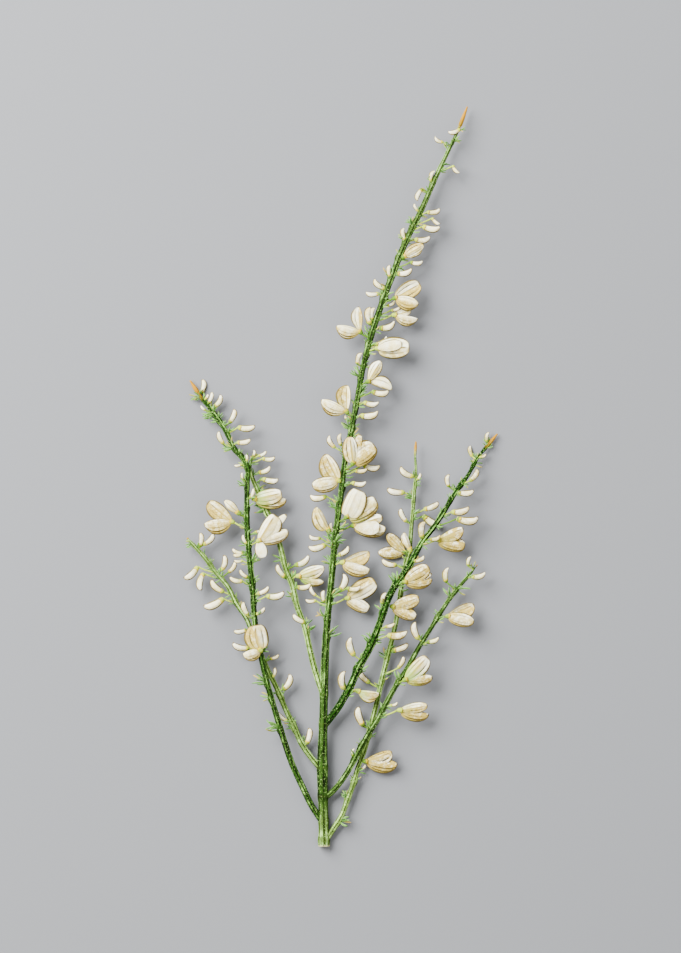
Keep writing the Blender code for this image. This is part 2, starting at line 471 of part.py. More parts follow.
def petals_of(route, bloom):
    """The two folded blades of a bloom: its standard, and its pair of wings closed over the keel."""
    mouth, ahead, back = bloom_frame(route, bloom)
    base = mouth + ahead * CLEAR
    stage = HALF_OPEN if bloom.half_open else OPEN
    upward = 1 if bloom.turn > 0 else -1
    keel_tip = np.array([*bloom.keel, mouth[2] - upward * stage["drop"]])
    size = np.linalg.norm(keel_tip - mouth)
    to_middle = size * (PETAL_REACH * ahead + PETAL_ARCH * back)
    root = base + STANDARD_AHEAD * ahead + ROOT_SPREAD * back
    standard = dict(
        root=root,
        middle=root + to_middle,
        tip=np.array([*bloom.standard, mouth[2] + upward * stage["rise"]]),
        back=back,
        breadth=bloom.breadth,
        fold=math.radians(stage["fold"]),
    )
    root = base - ROOT_SPREAD * back
    wings = dict(
        root=root,
        middle=root + to_middle,
        tip=keel_tip + WINGS_BACK * back,
        back=back,
        breadth=stage["wing_breadth"] * size,
        fold=math.radians(WING_FOLD),
    )
    return standard, wings


def new_object(name, mesh, collection, material=None):
    obj = bpy.data.objects.new(name, mesh)
    collection.objects.link(obj)
    if material is not None:
        mesh.materials.clear()
        mesh.materials.append(material)
    return obj


def evaluated_mesh(obj):
    """The object's mesh with its modifiers or bevel applied, its caps welded on."""
    mesh = bpy.data.meshes.new_from_object(obj.evaluated_get(bpy.context.evaluated_depsgraph_get()))
    bm = bmesh.new()
    bm.from_mesh(mesh)
    bmesh.ops.remove_doubles(bm, verts=bm.verts, dist=1e-6)
    bm.to_mesh(mesh)
    bm.free()
    return mesh


def tube(name, path, sides, collection):
    """A closed tube along (x, y, z, radius) points: a curve with a round bevel, made a mesh."""
    data = bpy.data.curves.new(name, "CURVE")
    data.dimensions = "3D"
    data.bevel_depth = MM
    data.bevel_resolution = (sides - 4) // 2
    data.use_fill_caps = True
    spline = data.splines.new("POLY")
    spline.points.add(len(path) - 1)
    for point, (x, y, z, radius) in zip(spline.points, path):
        point.co = (x * MM, y * MM, z * MM, 1)
        point.radius = radius
    curve = bpy.data.objects.new(name, data)
    collection.objects.link(curve)
    mesh = evaluated_mesh(curve)
    bpy.data.objects.remove(curve)
    bpy.data.curves.remove(data)
    return new_object(name, mesh, collection)


def folded_petal(name, petal, rows, collection):
    """A petal as a closed blade: a grid bent by petal_point, split into triangles, with Solidify."""
    bm = bmesh.new()
    bmesh.ops.create_grid(bm, x_segments=2, y_segments=rows, size=1)
    for vert in bm.verts:
        s, t = vert.co.x, (vert.co.y + 1) / 2
        vert.co = Vector(petal_point(**petal, s=s, t=t) * MM)
    bmesh.ops.triangulate(bm, faces=bm.faces)
    mesh = bpy.data.meshes.new(name)
    bm.to_mesh(mesh)
    bm.free()
    sheet = new_object(name, mesh, collection)
    wall = sheet.modifiers.new("thickness", "SOLIDIFY")
    wall.thickness = PETAL_THICKNESS * MM
    wall.offset = 0
    solid = evaluated_mesh(sheet)
    bpy.data.objects.remove(sheet)
    return new_object(name, solid, collection)


def leaflet(name, foot, tip, collection):
    """A slim three-sided needle from foot to tip."""
    foot, tip = Vector(foot) * MM, Vector(tip) * MM
    axis = tip - foot
    turn = axis.to_track_quat("Z", "Y").to_matrix().to_4x4()
    bm = bmesh.new()
    bmesh.ops.create_cone(
        bm, cap_ends=True, segments=3, radius1=LEAFLET_RADIUS * MM, radius2=0, depth=axis.length,
        matrix=Matrix.Translation((foot + tip) / 2) @ turn,
    )
    mesh = bpy.data.meshes.new(name)
    bm.to_mesh(mesh)
    bm.free()
    return new_object(name, mesh, collection)


def fuse(body, parts_collection):
    """Joins all of a collection to body, then removes the collection and its objects."""
    join = body.modifiers.new("grown together", "BOOLEAN")
    join.operation = "UNION"
    join.operand_type = "COLLECTION"
    join.collection = parts_collection
    join.solver = "MANIFOLD"
    mesh = evaluated_mesh(body)
    body.modifiers.clear()
    body.data = mesh
    for part in list(parts_collection.objects):
        bpy.data.objects.remove(part)
    bpy.data.collections.remove(parts_collection)


def lay_flat(obj):
    """What would sink into the surface is pressed flat on it."""
    bm = bmesh.new()
    bm.from_mesh(obj.data)
    if min(vert.co.z for vert in bm.verts) < 0:
        geometry = list(bm.verts) + list(bm.edges) + list(bm.faces)
        cut = bmesh.ops.bisect_plane(
            bm, geom=geometry, dist=1e-7, plane_co=(0, 0, 0), plane_no=(0, 0, 1), clear_inner=True,
        )
        rim = [edge for edge in cut["geom_cut"] if isinstance(edge, bmesh.types.BMEdge)]
        bmesh.ops.contextual_create(bm, geom=rim)
        bmesh.ops.holes_fill(bm, edges=[edge for edge in bm.edges if edge.is_boundary])
        bm.to_mesh(obj.data)
    bm.free()


def growing_collection():
    """An empty collection for the shoots that are about to be fused."""
    collection = bpy.data.collections.new("shoots")
    bpy.context.scene.collection.children.link(collection)
    return collection


def material(name, colour, roughness):
    made = bpy.data.materials.new(name)
    made.use_nodes = True
    shader = made.node_tree.nodes["Principled BSDF"]
    shader.inputs["Base Color"].default_value = (*colour, 1)
    shader.inputs["Roughness"].default_value = roughness
    shader.inputs["Metallic"].default_value = 0
    return made


def place_bloom(stem, bloom, route, growth):
    """Notes where a bloom's petals and its cup will be."""
    grid = [(s, t) for s in (-1, -0.5, 0, 0.5, 1) for t in (0, 0.25, 0.5, 0.75, 1)]
    for petal in petals_of(route, bloom):
        points = [[*petal_point(**petal, s=s, t=t), PETAL_THICKNESS] for s, t in grid]
        growth.add(bloom.cup, points)
    growth.add(stem, along(cup_path(route, bloom)[:-1]))


def cup_path(route, bloom):
    """A bloom's stalk and green cup: foot, neck and mouth."""
    mouth, ahead, _ = bloom_frame(route, bloom)
    neck = mouth - ahead * CUP_LENGTH
    foot, end = stalk(route, neck[:2], neck[2])
    end[3] = CUP_NECK_RADIUS
    return [foot, end, np.array([*mouth, CUP_RADIUS])]


def place_buds(name, routes, growth):
    """Each bud's path, lifted or lowered until it misses every other node."""
    paths = []
    others = growth.others(name)
    for bud in STEMS[name]["buds"]:
        tries = [bud_path(routes[name], bud, lift) for lift in bud[4:] or BUD_LIFTS]
        good = [path for path in tries if clear(along(path[1:]), others)]
        path = (good or tries)[0]
        paths.append(path)
        growth.add(name, along(path))
    return paths


def place_leaflets(name, routes, growth):
    """Feet and tips of a stem's leaflets: fans at its axils, each leaflet turned until it is clear."""
    found = []
    others = growth.others(name)
    start, end = LEAFLET_FAN
    for tuft, (height, side, count, length) in enumerate(STEMS[name]["tufts"]):
        x, y, z, radius = place(routes[name], height)
        ahead = unit((place(routes[name], height + 1) - place(routes[name], height - 1))[:3])
        outward = side * np.array((ahead[1], -ahead[0], 0.0))
        for k in range(count):
            spread = (k + 0.5) / count
            random = np.random.default_rng((LEAFLET_SEED, len(name), tuft, k))
            for _ in range(LEAFLET_TRIES):
                angle = start + spread * (end - start) + random.uniform(-LEAFLET_SCATTER, LEAFLET_SCATTER)
                angle = math.radians(angle)
                rise = random.uniform(*LEAFLET_RISE)
                way = unit(math.cos(angle) * ahead + math.sin(angle) * outward + rise * UP)
                reach = length * random.uniform(*LEAFLET_REACH)
                foot = np.array((x, y, z)) + LEAFLET_FOOT * radius * outward
                tip = foot + (reach + LEAFLET_BEYOND * radius) * way
                points = between([*foot, LEAFLET_RADIUS], [*tip, LEAFLET_TIP_RADIUS])
                if clear(points[1:], others):
                    found.append((foot, tip))
                    growth.add(name, points)
                    break
    return found


def build():
    for obj in list(bpy.data.objects):
        bpy.data.objects.remove(obj)
    sprig = bpy.data.collections.new("white_broom_sprig")
    bpy.context.scene.collection.children.link(sprig)
    green = material("stem_green", (0.16, 0.21, 0.07), 0.6)
    ivory = material("petal_ivory", (0.82, 0.77, 0.62), 0.55)

    main_route = smooth(STEMS["main_stem"]["route"], ROUTE_STEP)
    points = {name: full_route(name, main_route) for name in STEMS}
    routes = {name: smooth(points[name], ROUTE_STEP) for name in STEMS}
    growth = Growth()
    for name in STEMS:
        growth.add(name, routes[name])
    for stem, blooms in BLOOMS.items():
        for bloom in blooms:
            place_bloom(stem, bloom, routes[stem], growth)
    buds = {name: place_buds(name, routes, growth) for name in STEMS}
    leaflets = {name: place_leaflets(name, routes, growth) for name in STEMS}

    for name in STEMS:
        sides = MAIN_STEM_SIDES if name == "main_stem" else STEM_SIDES
        stem = tube(name, stem_path(points[name]), sides, sprig)
        stem.data.materials.append(green)
        shoots = growing_collection()
        for path in buds[name]:
            small = path[-2][3] < SMALL_BUD * BUD_STOUTNESS
            tube("bud", path, SMALL_BUD_SIDES if small else BUD_SIDES, shoots)
        for bloom in BLOOMS.get(name, []):
            tube("cup", cup_path(routes[name], bloom), CUP_SIDES, shoots)
        for foot, tip in leaflets[name]:
            leaflet("leaflet", foot, tip, shoots)
        fuse(stem, shoots)
        lay_flat(stem)

    for stem, blooms in BLOOMS.items():
        for number, bloom in enumerate(blooms, 1):
            name = stem.replace("stem", f"bloom_{number}")
            standard, wings = petals_of(routes[stem], bloom)
            if bloom.half_open:
                body = tube(name, rolled_wings(wings), ROLL_SIDES, sprig)
            else:
                body = folded_petal(name, wings, WING_ROWS, sprig)
            body.data.materials.append(ivory)
            shoots = growing_collection()
            folded_petal("standard", standard, STANDARD_ROWS, shoots)
            fuse(body, shoots)
            lay_flat(body)


build()
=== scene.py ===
import math

import bpy
import numpy as np
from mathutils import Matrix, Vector


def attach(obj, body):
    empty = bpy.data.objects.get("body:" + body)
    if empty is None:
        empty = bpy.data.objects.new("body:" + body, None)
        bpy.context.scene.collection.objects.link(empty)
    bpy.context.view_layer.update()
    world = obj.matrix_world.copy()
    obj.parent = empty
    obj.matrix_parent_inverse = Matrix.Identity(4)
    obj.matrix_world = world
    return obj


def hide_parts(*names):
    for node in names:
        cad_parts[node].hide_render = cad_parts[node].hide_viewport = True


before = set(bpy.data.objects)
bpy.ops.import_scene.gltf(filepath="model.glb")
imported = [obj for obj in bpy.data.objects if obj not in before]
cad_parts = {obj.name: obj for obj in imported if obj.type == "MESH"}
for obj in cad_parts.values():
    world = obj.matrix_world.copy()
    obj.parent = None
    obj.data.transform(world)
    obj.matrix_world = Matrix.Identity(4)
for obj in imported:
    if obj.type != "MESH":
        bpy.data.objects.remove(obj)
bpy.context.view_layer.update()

mm = 0.001  # the sprig's sizes are in mm; its middle is the origin and it lies on z = 0
up = np.array((0.0, 0.0, 1.0))

# Heights are Y, where the sprig's middle is 0. A route's points are (x, y, z, radius).
# A bud is (cup x, cup y, tip x, tip y), and its lift above the stem where it needs a set one.
# A tuft is (height, side, leaflets, length), with side -1 for left and 1 for right.
# Tone runs from a deep green bark, 0, to a pale one, 1; amber is how many mm of the tip are amber.
# A side stem parts from the main stem's axis at the height leavesMainAt.
# Bud point is how sharply the buds end; bud tan and bud green are how strongly they are coloured.
stems = {
    "main_stem": {
        "tone": 0.1, "amber": 11, "budPoint": 1.15, "budTan": 0.2, "budGreen": 0.12,
        "route": [
            (-6.6, -147.6, 1.9, 2.0), (-6.8, -134.8, 2.3, 1.7), (-7.2, -118.0, 3.4, 1.9),
            (-6.8, -96.8, 4.6, 1.5), (-6.2, -73.6, 5.6, 1.4), (-5.4, -58.8, 6.0, 1.2),
            (-3.4, -38.8, 6.4, 1.1), (-2.0, -22.8, 6.6, 1.1), (0.0, -8.0, 6.8, 1.05),
            (2.0, 8.4, 7.0, 1.0), (4.4, 19.6, 7.0, 1.0), (6.8, 31.6, 7.0, 1.0),
            (8.4, 41.2, 6.9, 1.0), (12.6, 58.0, 6.7, 1.05), (15.8, 67.6, 6.5, 1.1),
            (20.2, 79.6, 6.3, 1.1), (26.6, 95.6, 6.0, 1.1), (32.2, 106.8, 5.6, 1.0),
            (37.8, 119.6, 5.0, 0.9), (43.8, 132.2, 4.6, 0.6), (47.4, 140.0, 4.3, 0.5),
            (50.8, 148.7, 4.0, 0.12),
        ],
        "buds": [
            (47.8, 139.6, 43.0, 138.8), (41.0, 134.4, 37.8, 136.8), (45.0, 125.0, 47.8, 122.2),
            (36.0, 118.8, 38.0, 122.8), (32.6, 115.6, 31.0, 110.8), (31.0, 106.8, 29.8, 109.8),
            (34.6, 106.4, 39.6, 108.0), (36.6, 104.0, 40.0, 101.8), (32.8, 100.8, 39.8, 100.8),
            (29.6, 95.6, 35.8, 97.0), (25.8, 95.2, 25.7, 100.0), (28.0, 86.4, 32.8, 87.0),
            (22.4, 81.8, 28.4, 84.0), (19.6, 80.4, 20.2, 85.0), (17.8, 75.8, 13.8, 79.8),
            (15.4, 73.8, 10.2, 74.6), (18.6, 69.0, 21.6, 71.2), (20.2, 67.2, 23.6, 68.8),
            (15.6, 60.0, 21.6, 63.0), (13.8, 53.4, 18.4, 57.0), (12.6, 63.2, 14.0, 68.0),
            (12.0, 61.6, 12.4, 68.2), (6.8, 45.4, 9.0, 49.8), (9.8, 44.8, 12.8, 45.4),
            (12.6, 34.6, 19.2, 35.2), (9.4, 30.4, 15.4, 30.6), (8.0, 25.0, 15.0, 27.0),
            (2.6, 23.2, 2.4, 25.4), (-2.2, 12.2, -4.2, 17.2), (0.2, 13.0, 0.4, 17.8),
            (9.0, 5.4, 15.8, 5.2), (5.8, 3.0, 10.6, 4.0), (4.6, -1.8, 10.2, -1.2),
            (-5.6, -7.2, -12.2, -6.6), (-2.2, -22.8, -3.4, -17.8), (-8.0, -24.0, -12.4, -22.6),
            (-5.8, -26.6, -12.9, -27.2), (-0.9, -30.8, 2.9, -27.0), (-9.8, -47.0, -11.5, -43.2),
            (-9.8, -49.0, -14.0, -48.4), (-6.6, -49.6, -6.2, -45.0), (-0.4, -45.0, 0.9, -38.1),
            (2.5, -44.0, 8.0, -42.8),
        ],
        "tufts": [
            (134.8, 1, 2, 3.0), (131.2, -1, 1, 3.0), (124.8, 1, 1, 3.0), (118.0, -1, 1, 3.0),
            (100.8, -1, 3, 3.6), (95.2, -1, 2, 3.2), (88.4, -1, 1, 3.0), (80.8, -1, 2, 4.2),
            (72.4, -1, 1, 3.0), (72.4, 1, 1, 3.6), (57.6, -1, 1, 4.0), (54.0, -1, 1, 2.6),
            (49.6, 1, 1, 2.8), (40.4, -1, 3, 5.0), (35.2, 1, 2, 2.8), (29.2, -1, 1, 2.8),
            (20.0, -1, 2, 4.6), (20.0, 1, 1, 3.0), (16.0, 1, 2, 4.2), (9.4, -1, 1, 3.4),
            (3.2, 1, 1, 3.0), (-3.6, 1, 1, 3.0), (-12.4, -1, 4, 4.4), (-20.0, 1, 1, 5.4),
            (-26.0, -1, 2, 5.4), (-26.0, 1, 2, 4.4), (-35.2, -1, 3, 4.8), (-47.6, 1, 3, 5.0),
            (-55.6, -1, 2, 4.4), (-63.2, 1, 2, 5.6),
        ],
    },
    "left_outer_stem": {
        "leavesMainAt": -138.8, "tone": 0.05, "amber": 8, "budPoint": 0.7, "budTan": 0.15, "budGreen": 0.2,
        "route": [
            (-11.2, -131.8, 3.2, 1.1), (-15.2, -123.6, 4.0, 1.1), (-19.2, -114.8, 5.0, 1.1),
            (-22.6, -104.8, 6.0, 1.1), (-25.4, -95.6, 7.0, 1.05), (-28.2, -86.0, 7.6, 1.0),
            (-30.2, -78.4, 8.0, 1.0), (-31.8, -70.8, 8.2, 1.0), (-33.4, -62.8, 8.2, 1.0),
            (-34.6, -52.8, 8.0, 1.0), (-35.1, -44.0, 8.0, 1.0), (-36.2, -34.0, 8.0, 1.0),
            (-37.1, -23.0, 8.0, 1.0), (-37.5, -12.0, 8.0, 0.95), (-37.2, -0.8, 8.0, 0.9),
            (-37.0, 3.2, 8.0, 0.9), (-38.0, 6.0, 7.8, 0.9), (-42.6, 12.0, 6.6, 0.85),
            (-46.2, 19.2, 5.0, 0.8), (-51.0, 26.0, 3.2, 0.7), (-56.2, 32.8, 1.9, 0.55),
            (-60.3, 39.1, 1.6, 0.12),
        ],
        "buds": [
            (-55.9, 34.0, -55.8, 39.4, -0.9), (-52.9, 30.0, -52.0, 34.4), (-54.2, 31.6, -53.5, 33.6),
            (-50.7, 28.5, -48.4, 33.5), (-53.9, 27.2, -55.7, 29.2), (-44.5, 22.0, -43.0, 27.6),
            (-41.0, 20.4, -34.4, 21.4), (-41.4, 14.2, -36.2, 15.9), (-46.7, 13.7, -48.2, 18.7),
            (-37.5, 6.7, -38.0, 9.2), (-39.4, 5.4, -42.4, 5.3), (-38.9, -0.8, -39.0, 2.2),
            (-36.2, -8.1, -35.2, -4.1), (-37.5, -26.2, -38.6, -22.6), (-39.1, -33.0, -42.4, -32.6),
            (-38.8, -29.9, -42.9, -27.9), (-38.8, -30.1, -42.8, -30.3), (-34.2, -21.6, -31.2, -20.2),
            (-37.1, -39.7, -39.8, -36.4), (-39.1, -41.2, -44.0, -39.2), (-33.3, -46.2, -29.1, -43.0),
            (-29.6, -47.0, -22.8, -45.0), (-33.5, -54.4, -30.6, -51.5), (-36.8, -55.0, -38.3, -49.4),
        ],
        "tufts": [
            (32.2, -1, 2, 4.4), (25.6, -1, 4, 4.6), (26.2, 1, 2, 4.6), (23.6, 1, 2, 2.6),
            (22.9, -1, 2, 3.0), (18.0, 1, 1, 2.2), (11.9, -1, 3, 4.2), (9.2, 1, 2, 2.2),
            (4.4, 1, 1, 2.6), (4.4, -1, 1, 2.6), (-3.5, -1, 2, 3.8), (-11.6, 1, 1, 3.0),
            (-15.2, -1, 1, 3.0), (-26.2, 1, 1, 3.8), (-33.6, 1, 3, 4.2), (-41.2, 1, 1, 3.2),
            (-43.4, -1, 1, 2.2), (-48.8, 1, 1, 2.2), (-82.0, -1, 3, 5.6), (-88.0, -1, 1, 4.4),
            (-100.4, -1, 3, 6.6),
        ],
    },
    "left_middle_stem": {
        "leavesMainAt": -117.4, "tone": 0.65, "amber": 0.5, "budPoint": 0.6, "budTan": 0.2, "budGreen": 0.1,
        "route": [
            (-11.8, -111.8, 3.5, 1.0), (-15.5, -106.4, 3.6, 1.0), (-18.2, -100.4, 3.6, 1.0),
            (-22.2, -92.0, 3.5, 0.95), (-25.4, -84.4, 3.4, 0.9), (-28.6, -78.0, 3.4, 0.9),
            (-31.6, -71.2, 3.4, 0.9), (-35.0, -63.2, 3.6, 0.85), (-37.6, -56.4, 3.9, 0.8),
            (-41.8, -50.0, 4.2, 0.8), (-45.0, -43.6, 4.4, 0.8), (-49.8, -38.0, 4.5, 0.75),
            (-54.6, -31.6, 4.4, 0.7), (-59.4, -26.2, 4.2, 0.55), (-61.4, -24.0, 4.2, 0.2),
        ],
        "buds": [
            (-56.2, -27.4, -56.7, -22.1), (-54.9, -26.6, -51.5, -21.9), (-57.1, -35.4, -62.9, -39.5),
            (-54.6, -38.1, -55.1, -44.8), (-47.5, -36.8, -47.1, -31.0), (-44.9, -37.7, -42.8, -33.4),
            (-46.8, -45.5, -51.1, -40.4), (-46.8, -48.2, -54.8, -50.6), (-37.6, -60.8, -42.6, -60.8),
            (-36.6, -68.0, -42.8, -65.6), (-28.2, -72.4, -25.0, -70.4), (-27.0, -79.6, -26.8, -76.0),
            (-23.2, -84.8, -20.8, -78.4), (-21.4, -97.2, -24.4, -93.6), (-13.6, -106.4, -13.2, -100.2),
        ],
        "tufts": [
            (-26.4, -1, 3, 3.0), (-31.0, 1, 1, 2.4), (-34.2, 1, 1, 2.4), (-35.6, -1, 1, 2.4),
            (-39.6, 1, 1, 2.6), (-49.0, -1, 1, 2.4), (-48.8, 1, 1, 3.0), (-52.0, 1, 1, 2.4),
            (-68.4, 1, 2, 2.4), (-86.0, -1, 1, 2.4), (-87.6, 1, 1, 3.0), (-100.0, -1, 2, 2.8),
            (-98.0, 1, 1, 2.4), (-105.6, 1, 1, 2.6),
        ],
    },
    "left_inner_stem": {
        "leavesMainAt": -88.0, "tone": 0.9, "amber": 0.5, "budPoint": 0.75, "budTan": 0.15, "budGreen": 0.25,
        "route": [
            (-10.2, -76.8, 5.2, 1.1), (-12.2, -68.8, 5.2, 1.0), (-14.2, -60.0, 5.0, 1.0),
            (-17.4, -51.2, 4.8, 1.0), (-19.6, -42.0, 4.6, 1.0), (-21.8, -36.8, 4.4, 0.95),
            (-24.0, -28.0, 4.2, 0.95), (-26.2, -20.8, 4.0, 0.9), (-29.1, -14.6, 4.0, 0.9),
            (-31.6, -9.2, 4.0, 0.85), (-33.4, -4.8, 4.0, 0.8), (-35.9, 1.9, 4.0, 0.75),
            (-36.4, 4.8, 4.0, 0.65), (-35.4, 8.6, 4.0, 0.35),
        ],
        "buds": [
            (-35.2, 8.5, -35.0, 11.2), (-32.9, 8.9, -30.0, 11.0), (-31.2, 7.9, -26.4, 8.7),
            (-32.9, 2.2, -28.4, 5.0), (-31.2, -0.3, -24.9, -0.1), (-22.0, -39.7, -24.6, -34.4),
            (-18.2, -34.8, -13.1, -30.6), (-17.5, -43.6, -12.0, -41.9), (-14.0, -57.9, -18.4, -54.1),
        ],
        "tufts": [
            (6.4, 1, 1, 2.6), (-5.5, 1, 2, 3.6), (-7.6, -1, 1, 2.4), (-13.2, -1, 2, 4.0),
            (-14.2, 1, 1, 2.4), (-32.4, -1, 1, 4.0), (-40.4, 1, 1, 3.2), (-47.6, -1, 2, 3.8),
            (-61.5, 1, 2, 3.8),
        ],
    },
    "right_low_stem": {
        "leavesMainAt": -146.6, "tone": 0.95, "amber": 6, "budPoint": 0.7, "budTan": 0.25, "budGreen": 0.15,
        "route": [
            (0.2, -135.8, 2.7, 0.95), (2.8, -129.2, 2.9, 0.95), (5.1, -122.8, 3.0, 0.9),
            (7.1, -115.8, 3.0, 0.9), (9.0, -110.8, 3.0, 0.95), (11.4, -102.4, 3.0, 0.95),
            (13.0, -96.4, 3.0, 0.9), (15.0, -88.0, 3.1, 0.9), (16.6, -80.8, 3.2, 0.9),
            (18.6, -72.8, 3.4, 0.9), (20.6, -64.8, 3.5, 0.85), (22.2, -57.6, 3.5, 0.85),
            (23.4, -50.4, 3.4, 0.85), (24.6, -42.0, 3.4, 0.8), (25.8, -35.6, 3.4, 0.8),
            (27.4, -29.9, 3.5, 0.8), (28.2, -21.9, 3.8, 0.75), (28.9, -13.6, 4.0, 0.7),
            (29.6, -4.8, 4.1, 0.65), (30.2, 3.2, 4.2, 0.5), (29.9, 8.6, 4.2, 0.4),
            (30.2, 14.6, 4.2, 0.12),
        ],
        "buds": [
            (29.2, 0.6, 24.4, 4.8), (30.5, -0.8, 31.6, 2.0), (25.6, -5.7, 19.1, -3.7),
            (33.4, -12.6, 38.7, -9.2), (33.1, -15.0, 40.4, -18.2, -0.8), (26.5, -17.5, 24.7, -12.2),
            (22.5, -34.8, 16.9, -32.2), (20.9, -69.0, 26.4, -65.7), (23.1, -76.1, 24.7, -71.4),
            (11.6, -82.0, 8.2, -76.8, -0.4), (9.2, -99.2, 8.0, -91.6), (8.2, -116.8, 9.8, -114.6),
        ],
        "tufts": [
            (-2.6, 1, 1, 2.4), (-8.4, -1, 3, 3.8), (-32.8, -1, 1, 2.4), (-45.9, 1, 1, 3.0),
            (-71.7, -1, 2, 3.4), (-80.8, 1, 1, 2.4), (-128.4, -1, 4, 3.2), (-137.2, 1, 3, 4.2),
            (-121.2, -1, 1, 2.4), (-121.2, 1, 1, 2.6), (-100.0, -1, 1, 3.2), (-102.8, 1, 1, 2.4),
        ],
    },
    "right_inner_stem": {
        "leavesMainAt": -99.8, "tone": 0.0, "amber": 6, "budPoint": 1.0, "budTan": 0.4, "budGreen": 0.2,
        "route": [
            (-1.0, -92.0, 5.4, 1.3), (1.8, -87.2, 6.0, 1.3), (3.8, -83.6, 6.4, 1.3),
            (7.4, -75.6, 7.2, 1.3), (11.4, -68.4, 7.6, 1.3), (15.4, -58.8, 8.0, 1.2),
            (19.6, -47.2, 8.4, 1.2), (22.2, -42.4, 8.6, 1.15), (25.4, -38.0, 8.6, 1.1),
            (28.9, -32.4, 8.4, 1.1), (32.4, -25.9, 8.1, 1.0), (37.4, -19.4, 7.6, 0.95),
            (42.2, -12.0, 7.0, 0.9), (46.9, -4.4, 6.0, 0.8), (50.9, 1.0, 4.8, 0.7),
            (54.9, 8.0, 3.0, 0.55), (58.9, 13.0, 1.8, 0.45), (62.9, 17.7, 1.4, 0.12),
        ],
        "buds": [
            (58.7, 14.5, 59.8, 18.3), (52.9, 8.6, 52.4, 13.0, -1.9), (55.8, 8.4, 58.2, 9.8),
            (51.6, -1.2, 54.2, 3.8), (43.4, -3.5, 43.8, 1.4), (46.9, -5.9, 53.1, -4.6),
            (44.4, -13.5, 51.2, -11.2), (46.5, -16.1, 54.9, -15.2), (32.7, -24.1, 34.2, -17.5),
            (35.6, -24.4, 39.8, -22.6), (29.2, -33.2, 33.2, -30.8), (16.6, -50.2, 18.6, -45.9),
            (17.8, -59.4, 21.6, -57.7), (18.8, -62.8, 26.6, -60.8), (5.6, -71.0, 4.5, -63.5),
            (1.4, -84.4, 2.2, -77.2),
        ],
        "tufts": [
            (12.4, 1, 1, 2.8), (12.4, -1, 1, 2.4), (5.6, -1, 2, 2.4), (5.6, 1, 1, 3.4),
            (-2.0, -1, 1, 2.4), (-2.4, 1, 1, 2.8), (-8.4, -1, 1, 2.4), (-14.2, -1, 1, 2.4),
            (-35.4, 1, 1, 2.8), (-41.9, -1, 4, 4.0), (-53.5, -1, 2, 3.4), (-64.0, 1, 1, 3.6),
            (-65.9, -1, 3, 4.2), (-76.0, -1, 1, 2.4), (-76.4, 1, 1, 3.4), (-84.6, 1, 1, 3.0),
        ],
    },
    "right_outer_stem": {
        "leavesMainAt": -129.0, "tone": 0.15, "amber": 0.5, "budPoint": 1.1, "budTan": 0.2, "budGreen": 0.2,
        "route": [
            (-3.0, -125.4, 3.4, 1.0), (0.5, -121.2, 4.0, 1.0), (4.5, -114.8, 5.0, 1.0),
            (7.8, -108.4, 6.4, 1.0), (11.4, -102.0, 7.4, 1.0), (15.4, -95.6, 7.4, 0.95),
            (18.6, -89.6, 7.2, 0.95), (22.6, -82.4, 7.0, 0.9), (27.0, -75.6, 6.6, 0.9),
            (31.0, -68.4, 6.4, 0.85), (35.0, -62.0, 6.2, 0.8), (38.7, -56.0, 6.0, 0.8),
            (42.4, -50.2, 6.0, 0.75), (46.7, -44.4, 5.8, 0.65), (51.4, -39.0, 5.6, 0.5),
            (54.7, -34.8, 5.4, 0.12),
        ],
        "buds": [
            (51.1, -35.2, 52.4, -31.5), (52.4, -39.4, 57.8, -37.4), (42.4, -41.7, 43.4, -35.7),
            (31.2, -64.4, 30.2, -57.4), (34.7, -65.5, 39.2, -63.4), (19.8, -90.8, 22.6, -89.4),
            (4.8, -111.2, 5.8, -108.2),
        ],
        "tufts": [
            (-39.6, -1, 1, 2.4), (-44.6, 1, 1, 4.8), (-47.6, -1, 3, 4.0), (-55.4, -1, 1, 2.8),
            (-55.6, 1, 1, 2.4), (-80.8, -1, 2, 3.6), (-92.8, -1, 1, 3.2), (-106.8, -1, 1, 2.4),
            (-112.4, -1, 1, 3.8),
        ],
    },
}

